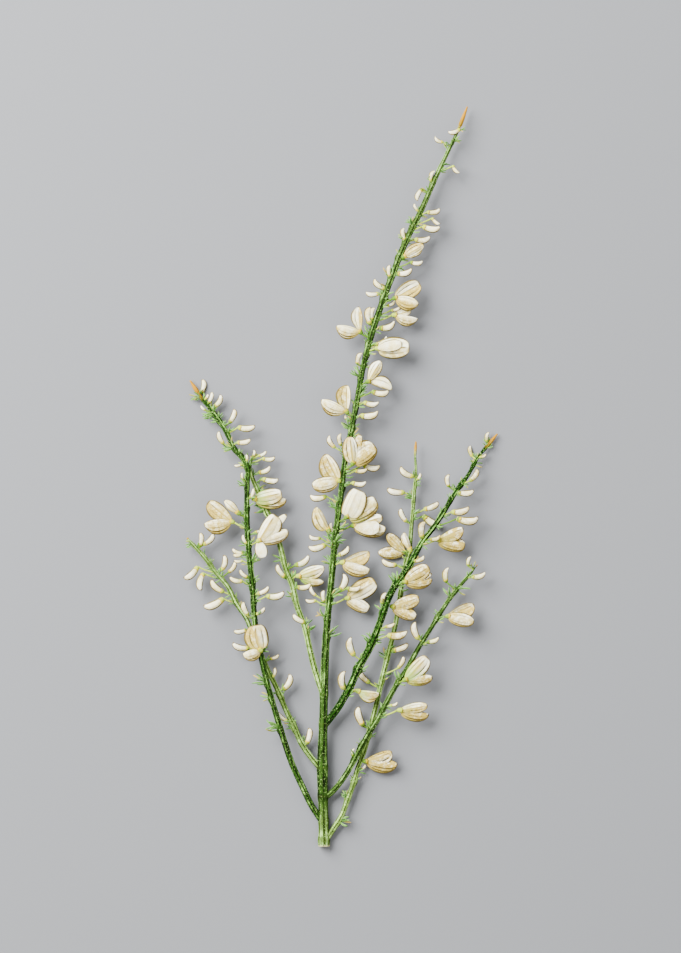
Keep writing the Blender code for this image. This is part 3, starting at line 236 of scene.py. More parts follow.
# A bloom's cup mouth, standard tip and keel tip are (x, y); its wings end at the keel's tip or at wingTip.
# Facing 1 has the standard in front, -1 the wings in front of a valley. Split, or lean on a half-open bloom,
# is the share of the standard's breadth on the side away from the wings. The wings reach up and down from the
# line to their tip by shares of its length. Widest is where a petal is widest, and blunt the power that its
# end narrows by, so that a small one ends round; fold and bow are how it bends. Tan and green are how brown
# it turns and how green it is at its foot. Dusk is how strong a painted shade on one half is (below 0 on the
# left); pleat is how deep a crease beside its midrib is and how strong the painted shade line in it; rib is
# how strong a painted shade line along the midrib and a painted shade band beside it are. Amber is how
# yellow the cup is. Values that start with wing are the wings' own. Extras are further petals, each (tip x,
# tip y, breadth, height above the bloom's middle).
blooms = {
    "main_stem": [
        dict(cup=(26.0, 88.8), standard=(33.4, 93.2), breadth=4.6, keel=(32.6, 92.0), lift=0.6, halfOpen=True,
             tan=0.35, pleat=1.1, dusk=-0.9, amber=0.9),
        dict(cup=(22.6, 72.0), standard=(31.8, 77.6), breadth=6.6, keel=(31.2, 69.4), lift=1.4, facing=-1,
             tan=0.2, pleat=0.8, dusk=1.4, blunt=0.4, wing=(0.23, 0.41), wingDusk=1.2, wingBlunt=0.75),
        dict(cup=(22.4, 65.2), standard=(28.2, 67.0), breadth=3.0, keel=(31.0, 63.6), lift=-0.6, facing=-1,
             tan=0.2, pleat=0.3, dusk=0.3, wing=(0.04, 0.41), wingBlunt=0.8),
        dict(cup=(15.6, 51.8), standard=(27.6, 52.2), breadth=8.4, keel=(25.0, 50.6), lift=1.2, widest=0.52,
             tan=0.12, pleat=0.6, dusk=0.6, blunt=0.4, wing=(0.2, 0.3), extras=[(24.6, 53.6, 4.4, 1.8)]),
        dict(cup=(7.4, 59.0), standard=(7.3, 68.6), breadth=4.3, keel=(-1.8, 60.6), lift=0.8, facing=-1,
             tan=0.15, pleat=0.6, dusk=1.1, split=0.25, blunt=0.85, wing=(0.12, 0.42), wingBlunt=0.75),
        dict(cup=(11.8, 38.8), standard=(16.2, 46.8), breadth=4.7, keel=(20.6, 35.2), lift=1.2,
             tan=0.12, pleat=0.7, dusk=0.8, split=0.57, blunt=0.8, wing=(0.42, 0.06), wingBlunt=0.75),
        dict(cup=(2.0, 27.2), standard=(2.6, 37.2), breadth=5.7, keel=(-7.8, 31.2), lift=0.8, facing=-1,
             tan=0.25, pleat=0.5, dusk=-1.1, split=0.25, blunt=0.6, wing=(0.14, 0.38), wingBlunt=0.8),
        dict(cup=(5.2, 6.6), standard=(3.8, 16.6), breadth=6.0, keel=(13.6, 13.6), wingTip=(14.0, 12.6),
             lift=3.4, tan=0.2, pleat=0.9, dusk=-0.8, split=0.58, widest=0.5, wing=(0.50, 0.34), wingDusk=0.9,
             wingBlunt=0.4, wingTan=0.7, extras=[(7.8, 17.4, 3.2, -0.2)]),
        dict(cup=(-1.6, -0.6), standard=(-6.2, 9.6), breadth=7.5, keel=(-11.4, -3.0), lift=0.8, facing=-1,
             tan=0.45, pleat=0.5, dusk=-1.1, split=0.33, blunt=0.62, widest=0.48, wing=(0.23, 0.37),
             wingDusk=0.6),
        dict(cup=(3.0, -15.0), standard=(7.0, -4.5), breadth=8.7, keel=(14.4, -11.0), wingTip=(14.2, -8.6),
             lift=1.6, tan=0.08, pleat=0.25, rib=0.35, dusk=0.2, split=0.38, blunt=0.28, widest=0.5,
             fold=0.03, wing=(0.22, 0.38), wingBlunt=0.3, wingGreen=0.3),
        dict(cup=(6.0, -19.0), standard=(16.8, -15.6), breadth=5.4, keel=(18.0, -21.0), lift=-0.8,
             tan=0.2, pleat=0.8, dusk=1.0, widest=0.5, wing=(0.1, 0.3),
             extras=[(15.8, -20.0, 6.6, 1.3), (18.2, -20.6, 4.0, 0.1)]),
        dict(cup=(-5.2, -20.0), standard=(-9.6, -11.4), breadth=5.2, keel=(-9.0, -12.0), lift=0.8,
             halfOpen=True, tan=0.15, pleat=0.7, dusk=-0.9, lean=0.92, widest=0.42, blunt=0.6),
        dict(cup=(1.6, -33.7), standard=(11.6, -29.5), breadth=5.4, keel=(11.8, -36.8), lift=0.8, facing=-1,
             tan=0.3, pleat=0.2, dusk=1.5, split=0.25, blunt=0.65, wing=(0.08, 0.38), wingDusk=0.6),
        dict(cup=(3.6, -47.9), standard=(14.0, -41.4), breadth=7.6, keel=(12.4, -51.6), wingTip=(11.4, -52.6),
             lift=-0.6, tan=0.2, pleat=0.6, rib=0.7, dusk=-1.0, blunt=0.38, wing=(0.24, 0.32), wingBlunt=0.3,
             amber=0.5),
    ],
    "left_outer_stem": [
        dict(cup=(-44.2, -17.2), standard=(-52.9, -9.5), breadth=6.3, keel=(-54.6, -18.6), lift=-0.6,
             facing=-1, tan=0.6, pleat=0.2, dusk=-1.4, split=0.4, blunt=0.48, wing=(0.14, 0.42), wingDusk=0.8,
             wingBlunt=0.75),
        dict(cup=(-41.5, -13.4), standard=(-46.4, -9.0), breadth=3.2, keel=(-46.0, -9.8), lift=1.8,
             halfOpen=True, tan=0.35),
        dict(cup=(-32.0, -24.6), standard=(-26.2, -14.6), breadth=7.5, keel=(-21.4, -24.8), lift=0.8,
             wingTip=(-20.8, -21.4), tan=0.1, pleat=0.3, dusk=0.4, split=0.3, blunt=0.4, wing=(0.2, 0.28),
             wingDusk=0.6, amber=1.0, extras=[(-21.6, -14.6, 3.2, -0.1), (-31.0, -32.0, 4.6, -0.3)]),
        dict(cup=(-32.6, -68.0), standard=(-33.8, -58.6), breadth=9.4, keel=(-39.0, -70.6), lift=2.4,
             tan=0.35, pleat=0.7, dusk=-1.3, blunt=0.36, widest=0.52, bow=0.07, wing=(0.12, 0.5),
             wingDusk=0.6),
    ],
    "left_inner_stem": [
        dict(cup=(-33.6, -8.4), standard=(-23.5, -6.0), breadth=6.2, keel=(-21.8, -9.6), lift=3.0,
             wingTip=(-21.6, -8.8), tan=0.2, green=0.7, pleat=0.7, dusk=0.7, split=0.42, blunt=0.4,
             widest=0.55, wing=(0.1, 0.31)),
        dict(cup=(-16.0, -39.2), standard=(-6.4, -35.6), breadth=5.4, keel=(-6.6, -41.8), lift=0.6,
             tan=0.2, green=0.4, pleat=0.8, dusk=0.7, split=0.38, widest=0.5, blunt=0.7, wing=(0.12, 0.28),
             wingGreen=0.9, wingBlunt=0.75, amber=1.0),
    ],
    "right_low_stem": [
        dict(cup=(25.1, -29.5), standard=(18.6, -22.4), breadth=4.3, keel=(14.9, -30.0), lift=-1.1,
             tan=0.75, pleat=0.4, dusk=-1.1, blunt=0.6, wing=(0.22, 0.25), wingBlunt=0.75, wingDusk=0.5),
        dict(cup=(21.6, -51.4), standard=(31.4, -47.8), breadth=5.4, keel=(30.2, -55.8), lift=3.0, tan=0.7,
             pleat=0.4, dusk=0.9, split=0.42, blunt=0.45, wing=(0.26, 0.28), wingDusk=0.5, wingBlunt=0.45),
        dict(cup=(10.8, -113.4), standard=(20.6, -109.6), breadth=5.4, keel=(22.4, -115.8), lift=0.6,
             tan=0.85, pleat=1.3, dusk=-1.2, split=0.25, blunt=0.55, wing=(0.08, 0.29), wingBlunt=0.7,
             wingDusk=1.2, wingTan=0.95, extras=[(22.8, -114.9, 3.4, 0.4)]),
        dict(cup=(27.6, -28.0), standard=(25.4, -21.7), breadth=2.5, keel=(25.0, -22.4), lift=1.8,
             halfOpen=True, tan=0.4, lean=0.3),
    ],
    "right_inner_stem": [
        dict(cup=(39.8, -24.6), standard=(49.0, -19.9), breadth=4.8, keel=(49.8, -27.4), lift=-0.8, tan=0.95,
             green=0.2, pleat=0.2, dusk=0.9, split=0.28, blunt=0.6, wing=(0.27, 0.31), wingDusk=1.0,
             wingBlunt=0.38),
        dict(cup=(26.4, -41.2), standard=(35.4, -35.6), breadth=6.4, keel=(36.7, -40.6), lift=0.6, tan=0.75,
             pleat=0.8, dusk=0.9, wing=(0.1, 0.32), wingBlunt=0.6, extras=[(36.4, -38.2, 3.2, 0.15)]),
        dict(cup=(7.8, -85.4), standard=(15.6, -86.2), breadth=3.8, keel=(14.6, -87.6), lift=0.2,
             halfOpen=True, tan=0.3, green=0.65, dusk=0.8, lean=0.12),
    ],
    "right_outer_stem": [
        dict(cup=(43.8, -55.2), standard=(53.4, -50.6), breadth=5.6, keel=(53.4, -57.6), lift=0.4, facing=-1,
             tan=0.55, pleat=0.3, dusk=1.2, split=0.32, blunt=0.55, wing=(0.25, 0.29), wingDusk=0.5,
             amber=0.9),
        dict(cup=(26.6, -80.2), standard=(34.6, -71.4), breadth=6.4, keel=(36.8, -79.6), lift=2.4, tan=0.2,
             green=0.8, pleat=1.0, dusk=-0.5, split=0.4, blunt=0.4, wing=(0.14, 0.28), wingTan=0.9,
             wingDusk=0.8),
        dict(cup=(24.6, -92.8), standard=(34.8, -91.0), breadth=4.0, keel=(35.4, -94.6), lift=0.4, tan=0.45,
             green=0.2, pleat=0.6, dusk=1.2, wing=(0.05, 0.32), wingTan=0.95, wingDusk=1.1, amber=0.1),
    ],
}
# what a bloom has where its row says nothing else
openBloom = {
    "facing": 1, "split": 0.5, "widest": 0.6, "blunt": 0.5, "fold": 0.14, "bow": 0.0, "green": 0.08,
    "pleat": 0.2, "dusk": 0.0, "rib": 1.0, "wingBlunt": 0.5, "wingDusk": 0.7, "extras": [],
}
halfOpenBloom = {
    **openBloom, "lean": 0.6, "spread": 0.9, "wingLean": 0.5, "wingSpread": 0.95, "widest": 0.55,
    "blunt": 0.7, "rib": 0.8,
}

# curves and placing, as the solids are placed

# clear is the least gap between nodes, and lowest the least gap to the surface
routeForm = {"step": 1.0, "clear": 0.3, "lowest": 0.1, "partingRadius": 0.35, "stretchPoints": 5}
stalkForm = {
    "slant": 0.45, "lowest": 2.0, "radius": 0.42, "rows": 7, "sides": 8,
    "sag": 0.06, "sagWay": (0, -0.8, 0.3), "footFlare": 0.25, "endFlare": 0.3,
}
cupForm = {  # length, neck and mouth are the solid's; drawn is what shows, inside them
    "length": 2.0, "neck": 0.6, "mouth": 1.15, "sides": 15, "teeth": 5, "toothLength": 0.2,
    "along": (0, 0.12, 0.3, 0.55, 0.8, 1.0, 0.96, 0.7, 0.5), "wall": (0, 0, 0, 0, 0, 0, 0.14, 0.2, 0.3),
    "drawn": {"length": 2.0, "radius": 1.05, "neck": 0.5}, "start": 0.1, "stalkEnd": 0.2, "stalk": 0.3,
    "ambers": (0.4, 0.9),
}
budForm = {
    "stoutness": 0.21, "radii": (0.65, 1.75), "foot": 0.6, "tip": 0.4, "belly": 0.6, "arch": 0.1,
    "rise": 0.12, "lifts": (0.7, -0.7, 1.6, -1.6, 2.6, -2.6, 3.6, 4.6),
}


def unit(vector):
    return vector / np.linalg.norm(vector, axis=-1, keepdims=True)


def smoothCurve(points, step):  # cubic stretches through the points, with their neighbours' slopes, resampled
    points = np.array(points, float)
    gaps = np.linalg.norm(np.diff(points[:, :3], axis=0), axis=1)
    length = np.concatenate([[0], np.cumsum(gaps)])
    slope = np.gradient(points, length, axis=0)
    places = np.linspace(0, length[-1], round(length[-1] / step) + 1)
    k = np.clip(np.searchsorted(length, places, side="right") - 1, 0, len(points) - 2)
    span = (length[k + 1] - length[k])[:, None]
    t = (places[:, None] - length[k][:, None]) / span
    return (
        points[k] * (1 + 2 * t) * (1 - t) ** 2
        + points[k + 1] * t**2 * (3 - 2 * t)
        + slope[k] * span * t * (1 - t) ** 2
        - slope[k + 1] * span * t**2 * (1 - t)
    )


def stemPlace(route, height):  # x, y, z and radius of a stem at a height
    return np.array([np.interp(height, route[:, 1], route[:, k]) for k in range(4)])


def fullRoute(name, mainRoute):  # a stem's points; a side stem's start where it parts from the main stem
    points = [np.array(point) for point in stems[name]["route"]]
    if "leavesMainAt" not in stems[name]:
        return points
    root, first = stemPlace(mainRoute, stems[name]["leavesMainAt"]), points[0]
    apart = np.linalg.norm((first - stemPlace(mainRoute, first[1]))[:3])
    parting = []
    for radius in (routeForm["partingRadius"], first[3]):
        point = root + (root[3] + routeForm["clear"] + radius) / apart * (first - root)
        parting.append(np.array([*point[:3], radius]))
    return parting + points


def stalkEnds(route, cup, cupZ):  # a stalk leaves its stem lower down, by a share of the cup's way out
    reach = abs(cup[0] - stemPlace(route, cup[1])[0])
    foot = stemPlace(route, max(cup[1] - stalkForm["slant"] * reach, route[0, 1] + stalkForm["lowest"]))
    foot[3] = stalkForm["radius"]
    return foot, np.array([cup[0], cup[1], cupZ, stalkForm["radius"]])


def budPath(route, bud, lift):  # foot, cup, belly and tip of a bud, as x, y, z, radius
    cup, tip = np.array(bud[:2]), np.array(bud[2:4])
    z = stemPlace(route, cup[1])[2] + lift
    foot, end = stalkEnds(route, cup, z)
    length = np.linalg.norm(tip - cup)
    radius = np.clip(budForm["stoutness"] * length, *budForm["radii"])
    sideways = unit(np.array((cup[1] - tip[1], tip[0] - cup[0])))
    arch = budForm["arch"] * length * sideways * (-1 if sideways[1] > 0 else 1)
    belly = cup + budForm["belly"] * (tip - cup) + arch
    end[3] = budForm["foot"] * radius
    rise = budForm["rise"] * length * np.sign(lift)
    return [
        foot, end, np.array([*belly, z + budForm["belly"] * rise, radius]),
        np.array([*tip, z + rise, budForm["tip"] * radius]),
    ]


def alongPath(path):
    count = routeForm["stretchPoints"]
    return np.concatenate([np.linspace(a, b, count) for a, b in zip(path[:-1], path[1:])])


def isClear(points, others):  # above the surface and off every other node
    if (points[:, 2] - points[:, 3]).min() < routeForm["lowest"]:
        return False
    apart = np.linalg.norm(points[:, None, :3] - others[None, :, :3], axis=2)
    return bool((apart - points[:, None, 3] - others[None, :, 3]).min() > routeForm["clear"])


def bloomFrame(route, bloom):  # the cup's mouth, which way it looks, and the side its standard is on
    cup, standard, keel = (np.array(bloom[part]) for part in ("cup", "standard", "keel"))
    mouth = np.array([*cup, stemPlace(route, cup[1])[2] + bloom["lift"]])
    ahead = unit(np.array([*((standard + keel) / 2 - cup), 0.0]))
    across = np.array((-ahead[1], ahead[0], 0.0))
    if np.dot(np.array([*(standard - keel), 0.0]), across) < 0:
        across = -across
    return mouth, ahead, across


def cupPath(route, bloom):  # the stalk's foot, the cup's neck and the cup's mouth, as x, y, z, radius
    mouth, ahead, _ = bloomFrame(route, bloom)
    neck = mouth - ahead * cupForm["length"]
    foot, end = stalkEnds(route, neck[:2], neck[2])
    end[3] = cupForm["neck"]
    return [foot, end, np.array([*mouth, cupForm["mouth"]])]


# surfaces: every shape is a closed tube, a grid of rings by points round each ring


def newBundle():
    return {"points": [], "quads": [], "triangles": [], "count": 0, "values": {}}


def addTube(bundle, rings, **values):  # rings (n, m, 3) in mm; each end is closed on a point in its middle
    rings = np.asarray(rings, float)
    n, m = rings.shape[:2]
    index = np.arange(n * m).reshape(n, m)
    nextOne = np.roll(index, -1, axis=1)
    quads = np.stack([index[:-1], index[1:], nextOne[1:], nextOne[:-1]], axis=2).reshape(-1, 4)
    ends = np.stack([rings[0].mean(axis=0), rings[-1].mean(axis=0)])
    first = np.stack([np.full(m, n * m), index[0], nextOne[0]], axis=1)
    last = np.stack([np.full(m, n * m + 1), nextOne[-1], index[-1]], axis=1)
    triangles = np.concatenate([first, last])
    points = np.concatenate([rings.reshape(-1, 3), ends])
    faces = np.concatenate([quads[:, [0, 1, 2]], quads[:, [0, 2, 3]], triangles])
    corners = points[faces] - points.mean(axis=0)
    volumes = np.einsum("ij,ij->i", corners[:, 0], np.cross(corners[:, 1], corners[:, 2]))
    if volumes.sum() < 0:  # inside out
        quads, triangles = quads[:, ::-1], triangles[:, ::-1]
    bundle["points"].append(points)
    bundle["quads"].append(quads + bundle["count"])
    bundle["triangles"].append(triangles + bundle["count"])
    bundle["count"] += len(points)
    for key, value in values.items():
        value = np.broadcast_to(np.asarray(value, float), (n, m))
        flat = np.concatenate([value.reshape(-1), [value[0].mean(), value[-1].mean()]])
        bundle["values"].setdefault(key, []).append(flat)


def makePiece(name, bundle, material, slotName, *nodes):
    points = np.concatenate(bundle["points"]) * mm
    points[:, 2] = np.maximum(points[:, 2], 0.0)  # nothing sinks into the surface
    quads, triangles = np.concatenate(bundle["quads"]), np.concatenate(bundle["triangles"])
    corners = np.concatenate([quads.ravel(), triangles.ravel()])
    starts = np.concatenate([np.arange(len(quads)) * 4, quads.size + np.arange(len(triangles)) * 3])
    mesh = bpy.data.meshes.new(name)
    mesh.vertices.add(len(points))
    mesh.vertices.foreach_set("co", points.astype(np.float32).ravel())
    mesh.loops.add(len(corners))
    mesh.loops.foreach_set("vertex_index", corners.astype(np.int32))
    mesh.polygons.add(len(starts))
    mesh.polygons.foreach_set("loop_start", starts.astype(np.int32))
    mesh.update(calc_edges=True)
    mesh.polygons.foreach_set("use_smooth", np.ones(len(starts), bool))
    for key, value in bundle["values"].items():
        layer = mesh.attributes.new(key, "FLOAT", "POINT")
        layer.data.foreach_set("value", np.concatenate(value).astype(np.float32))
    mesh.materials.append(material)
    mesh.validate()
    piece = bpy.data.objects.new(name, mesh)
    bpy.context.scene.collection.objects.link(piece)
    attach(piece, "root")
    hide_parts(*nodes)
    return piece


def ellipses(centres, wide, high, angle):
    # carried along a path that is never upright: centre + wide x cos x across + high x sin x upward
    ahead = unit(np.gradient(centres, axis=0))
    upward = unit(up - (ahead @ up)[:, None] * ahead)
    across = np.cross(ahead, upward)
    return (
        centres[:, None]
        + (wide * np.cos(angle))[..., None] * across[:, None]
        + (high * np.sin(angle))[..., None] * upward[:, None]
    )


def roundRings(centres, wide, high, sides, start=0.0):
    angle = start + np.linspace(0, 2 * math.pi, sides, endpoint=False)
    wide, high = (np.broadcast_to(size, len(centres))[:, None] for size in (wide, high))
    return ellipses(centres, wide, high, angle), angle


# stems: a ribbed tube, swollen and scarred where its leaflets stand

barkForm = {
    "step": 0.5, "sides": 56, "thick": 1.06, "root": 0.85, "ribs": 5, "ribDepth": 0.2, "twist": 0.006,
    "swell": 0.1, "cushion": 0.3, "cushionDrop": 0.4, "cushionLength": 1.3, "cushionTurn": 0.75,
    "ring": 0.14, "ringRise": 1.5, "ringLength": 1.6, "ringMark": 0.75, "mostSwell": 0.5,
    "smoothing": 0.7, "smoothRib": 0.75, "streakRows": 20,
    "amberFull": 0.35, "thorn": 1.1, "thornRadius": 0.5,  # thin amber tips swell into thorns
    "cutHeights": (-147.6, -147.0), "toneHeights": (-140, -128, 60, 120), "endTones": (0.5, 0.35),
}


def bell(distance, breadth):  # e to the minus square of distance over breadth
    return np.exp(-((distance / breadth) ** 2))


def cushions(name, height, angle):  # how far the bark swells, and how far it is scarred, as sums of bells
    swell = np.zeros((len(height), len(angle)))
    mark = np.zeros_like(swell)
    for place, side, *_ in stems[name]["tufts"]:
        level = bell(height - place + barkForm["cushionDrop"], barkForm["cushionLength"])
        turned = np.angle(np.exp(1j * (angle - (0 if side > 0 else math.pi))))
        seat = level * bell(turned, barkForm["cushionTurn"])
        swell += barkForm["swell"] * level + barkForm["cushion"] * seat
        mark = np.maximum(mark, seat)
    if name == "main_stem":  # a ring where each side stem parts from it
        for parting in (other["leavesMainAt"] for other in stems.values() if "leavesMainAt" in other):
            level = bell(height - parting - barkForm["ringRise"], barkForm["ringLength"])
            swell += barkForm["ring"] * level
            mark = np.maximum(mark, barkForm["ringMark"] * level)
    return np.minimum(swell, barkForm["mostSwell"]), mark


def streaks(rows, sides, random):  # a normal draw every few rows, blended lengthwise and with its neighbours
    drawn = random.normal(size=(rows // barkForm["streakRows"] + 3, sides))
    place = np.linspace(0, len(drawn) - 1.001, rows)  # just short of the last draw
    low = place.astype(int)
    streak = drawn[low] + (place - low)[:, None] * (drawn[low + 1] - drawn[low])
    return 0.5 * streak + 0.25 * (np.roll(streak, 1, axis=1) + np.roll(streak, -1, axis=1))


def stemBundle(name, points, random):
    # radius = own radius x (1 + ribs + cushions + thorn); ribs are broad, and grooves narrow
    path = smoothCurve(points, barkForm["step"])
    centres, radius = path[:, :3], barkForm["thick"] * path[:, 3]
    angle = np.linspace(0, 2 * math.pi, barkForm["sides"], endpoint=False)
    height = centres[:, 1][:, None]
    ribWave = 0.5 + 0.5 * np.cos(barkForm["ribs"] * (angle + barkForm["twist"] * height))
    rib = 1 - (1 - ribWave) ** 3
    swell, mark = cushions(name, height, angle)
    streak = streaks(len(path), len(angle), random)
    end, amber, tone, toCut = path[-1, 1], stems[name]["amber"], stems[name]["tone"], 0.0
    toTip = np.interp(height, [end - amber, end - barkForm["amberFull"] * amber], [0, 1])
    thorn = barkForm["thorn"] * toTip * (radius[:, None] < barkForm["thornRadius"])
    relief = 1 - 0.5 * barkForm["ribDepth"] + barkForm["ribDepth"] * rib + swell + thorn
    thick = radius[:, None] * relief
    if name == "main_stem":
        low, high = barkForm["endTones"]
        toCut = np.interp(height, barkForm["cutHeights"], [1, 0])
        tone = np.interp(height, barkForm["toneHeights"], [low, tone, tone, high])
    rib = rib + barkForm["smoothing"] * mark * (barkForm["smoothRib"] - rib)  # cushions are smooth
    bundle = newBundle()
    rings = ellipses(centres, thick, thick, angle)
    # rib places the bark's painted groove shade and crest highlights
    addTube(bundle, rings, rib=rib, streak=streak, mark=mark, amber=toTip, cut=toCut, tone=tone)
    return bundle


# leaflets: narrow blades, hollow above, broadest past the middle

bladeForm = {
    "rows": 8, "sides": 6, "start": 0.5, "ease": 1.4, "slender": 0.09, "widths": (0.24, 0.38),
    "foot": 0.35, "swell": 0.7, "past": 1.2, "fullness": 0.8, "depth": 0.45, "thinnest": 0.08, "end": 0.05,
    "bend": 0.16, "lift": 0.12, "dryness": (-3.0, 0.9),
}


def addLeaflet(bundle, foot, tip, random):
    # half width = slender x length x (a share that grows from the foot and falls as a sine to the tip)
    t = 1 - (1 - np.linspace(0, 1, bladeForm["rows"])) ** bladeForm["ease"]
    way = tip - foot
    length = np.linalg.norm(way)
    sideways = unit(np.cross(up, way))
    bend = random.uniform(-bladeForm["bend"], bladeForm["bend"]) * length
    lift = random.uniform(0.0, bladeForm["lift"]) * length
    bow = (4 * t * (1 - t))[:, None]
    centres = foot + t[:, None] * way + bow * (bend * sideways + lift * up)
    width = np.clip(bladeForm["slender"] * length, *bladeForm["widths"])
    swell = np.sin(math.pi * t ** bladeForm["past"]) ** bladeForm["fullness"]
    width = width * (bladeForm["foot"] + bladeForm["swell"] * swell)
    width[-1] = bladeForm["end"]
    depth = np.maximum(bladeForm["depth"] * width, bladeForm["thinnest"])
    rings, angle = roundRings(centres, width, depth, bladeForm["sides"], bladeForm["start"])
    shade, dry = random.uniform(0, 1), max(0.0, random.uniform(*bladeForm["dryness"]))
    addTube(bundle, rings, across=np.cos(angle), along=t[:, None], shade=shade, dry=dry)


# buds: a curved club with a hooked beak, on a thin stalk, in a small toothed cup

clubForm = {
    "rows": 18, "sides": 16, "girth": 0.92, "depth": 0.85, "stoutest": (0.5, 0.68), "foot": 0.55,
    "blunt": (1.2, 1.9), "hollow": (0.01, 0.08), "seam": 0.05, "upright": 1.3, "outline": 1.14, "past": 1.004,
    # dusk and duskFrom set the painted shade on a bud's belly half
    "pleats": (0, 0.4), "dusk": 0.65, "duskFrom": 0.15, "tans": (0.4, 1.7), "greens": (0.2, 1.9),
    "ambers": (0.3, 1.0),
    "cup": 0.21, "leastCup": 0.9, "cupGirth": 0.68, "cupGap": 0.08, "cupNeck": 0.34, "cupStart": -0.12,
    "stalk": 0.27, "stalkEnd": 0.1,
}


def addCup(bundle, base, ahead, length, radius, neck, shade, amber):
    # radius grows as the root of a sine; the rim waves into teeth, and the wall turns inwards and closes
    v, wall = np.array(cupForm["along"]), np.array(cupForm["wall"])
    angle = np.linspace(0, 2 * math.pi, cupForm["sides"], endpoint=False)
    size = neck + (radius - neck) * np.sin(np.minimum(v, 1) * math.pi / 2) ** 0.5 - wall * radius
    teeth = (v**4)[:, None] * np.maximum(0, np.cos(cupForm["teeth"] * angle))
    far = (v * length)[:, None] + teeth * cupForm["toothLength"] * length
    sideways = unit(np.cross(up, ahead))
    upward = np.cross(ahead, sideways)
    rings = (
        base
        + far[..., None] * ahead
        + (size[:, None] * np.cos(angle))[..., None] * sideways
        + (size[:, None] * np.sin(angle))[..., None] * upward
    )
    addTube(bundle, rings, across=np.cos(angle), along=v[:, None], shade=shade, dry=amber)


def addStalk(bundle, foot, end, radius, shade):  # a straight line with a parabola's sag, flared at both ends
    t = np.linspace(0, 1, stalkForm["rows"])[:, None]
    sag = (4 * t * (1 - t)) * stalkForm["sag"] * np.linalg.norm(end - foot)
    centres = foot + t * (end - foot) + sag * np.array(stalkForm["sagWay"])
    flare = stalkForm["footFlare"] * (1 - t[:, 0]) ** 3
    thick = radius * (1 + flare + stalkForm["endFlare"] * t[:, 0] ** 6)
    rings, angle = roundRings(centres, thick, thick, stalkForm["sides"])
    addTube(bundle, rings, across=np.cos(angle), along=0.5, shade=shade, dry=0.0)


def addBud(greens, petals, path, random, looks, outward):
    # half width: a parabola up to the stoutest place, then an ellipse drawn in to the tip
    # the upper edge is nearly straight, so the middle line lies half a width below it and the belly sags
    foot, cup, tip = (path[k][:3] for k in (0, 1, 3))
    radius, way = path[2][3], tip - cup
    length = np.linalg.norm(way)
    u = np.linspace(0, 1, clubForm["rows"])
    most = random.uniform(*clubForm["stoutest"])
    blunt = looks["budPoint"] * random.uniform(*clubForm["blunt"])
    swell = clubForm["foot"] + (1 - clubForm["foot"]) * (1 - ((most - u) / most) ** 2)
    ending = np.sqrt(np.maximum(0, 1 - ((u - most) / (clubForm["past"] - most)) ** 2)) ** blunt
    wide = clubForm["girth"] * radius * np.where(u < most, swell, ending)
    below = unit(np.array((way[1], -way[0], 0.0)))
    below = below * (-1 if below[1] > 0 else 1)
    if abs(way[1]) > clubForm["upright"] * abs(way[0]):  # an upright bud's belly is on its outer side
        below = below * (1 if below[0] * outward > 0 else -1)
    hollow = random.uniform(*clubForm["hollow"]) * length
    sag = wide - wide[0] * (1 - u) + hollow * 4 * u * (1 - u)
    centres = cup + u[:, None] * way + sag[:, None] * below
    rings, angle = roundRings(centres, wide, clubForm["depth"] * wide, clubForm["sides"])
    seam = (1 + clubForm["seam"] * np.cos(2 * angle))[:, None]
    rings = centres[:, None] + (rings - centres[:, None]) * seam
    # lower is positive on the belly's side, whose half gets a painted shade (dusk)
    lower = np.cos(angle) * (1 if np.dot(np.cross(way, up), below) > 0 else -1)
    pleat = random.uniform(*clubForm["pleats"])
    tan = looks["budTan"] * random.uniform(*clubForm["tans"])
    green = looks["budGreen"] * random.uniform(*clubForm["greens"])
    addTube(
        petals, rings, across=clubForm["outline"] * np.cos(angle), along=u[:, None], fold=0.0, pleat=pleat,
        dusk=clubForm["dusk"] * np.clip(clubForm["duskFrom"] + lower, 0, 1), tan=tan, green=green,
        shade=random.uniform(0, 1),
    )
    ahead = unit(centres[2] - centres[0])
    shade, amber = random.uniform(0, 1), random.uniform(*clubForm["ambers"])
    cupLength = max(clubForm["leastCup"], clubForm["cup"] * length)
    cupRadius = clubForm["cupGirth"] * radius + clubForm["cupGap"]
    base = cup + clubForm["cupStart"] * ahead
    addCup(greens, base, ahead, cupLength, cupRadius, clubForm["cupNeck"], shade, amber)
    addStalk(greens, foot, cup + clubForm["stalkEnd"] * ahead, clubForm["stalk"], shade)


# blooms: a folded standard, two wings and a keel between them

petalForm = {
    "rows": 30, "columns": 21, "thick": 0.2, "claw": 0.35, "ease": 1.6, "crease": 0.22, "creaseAt": 0.5,
    "creaseBreadth": 0.12, "ripples": (9, 1.3), "foldCurve": 1.2, "thinSides": 0.92, "thinEnd": 0.8,
    "duskFrom": 0.15, "duskRise": 1.7, "rootInCup": 0.7, "rowStep": 5, "columnStep": 4, "clearRadius": 0.5,
}
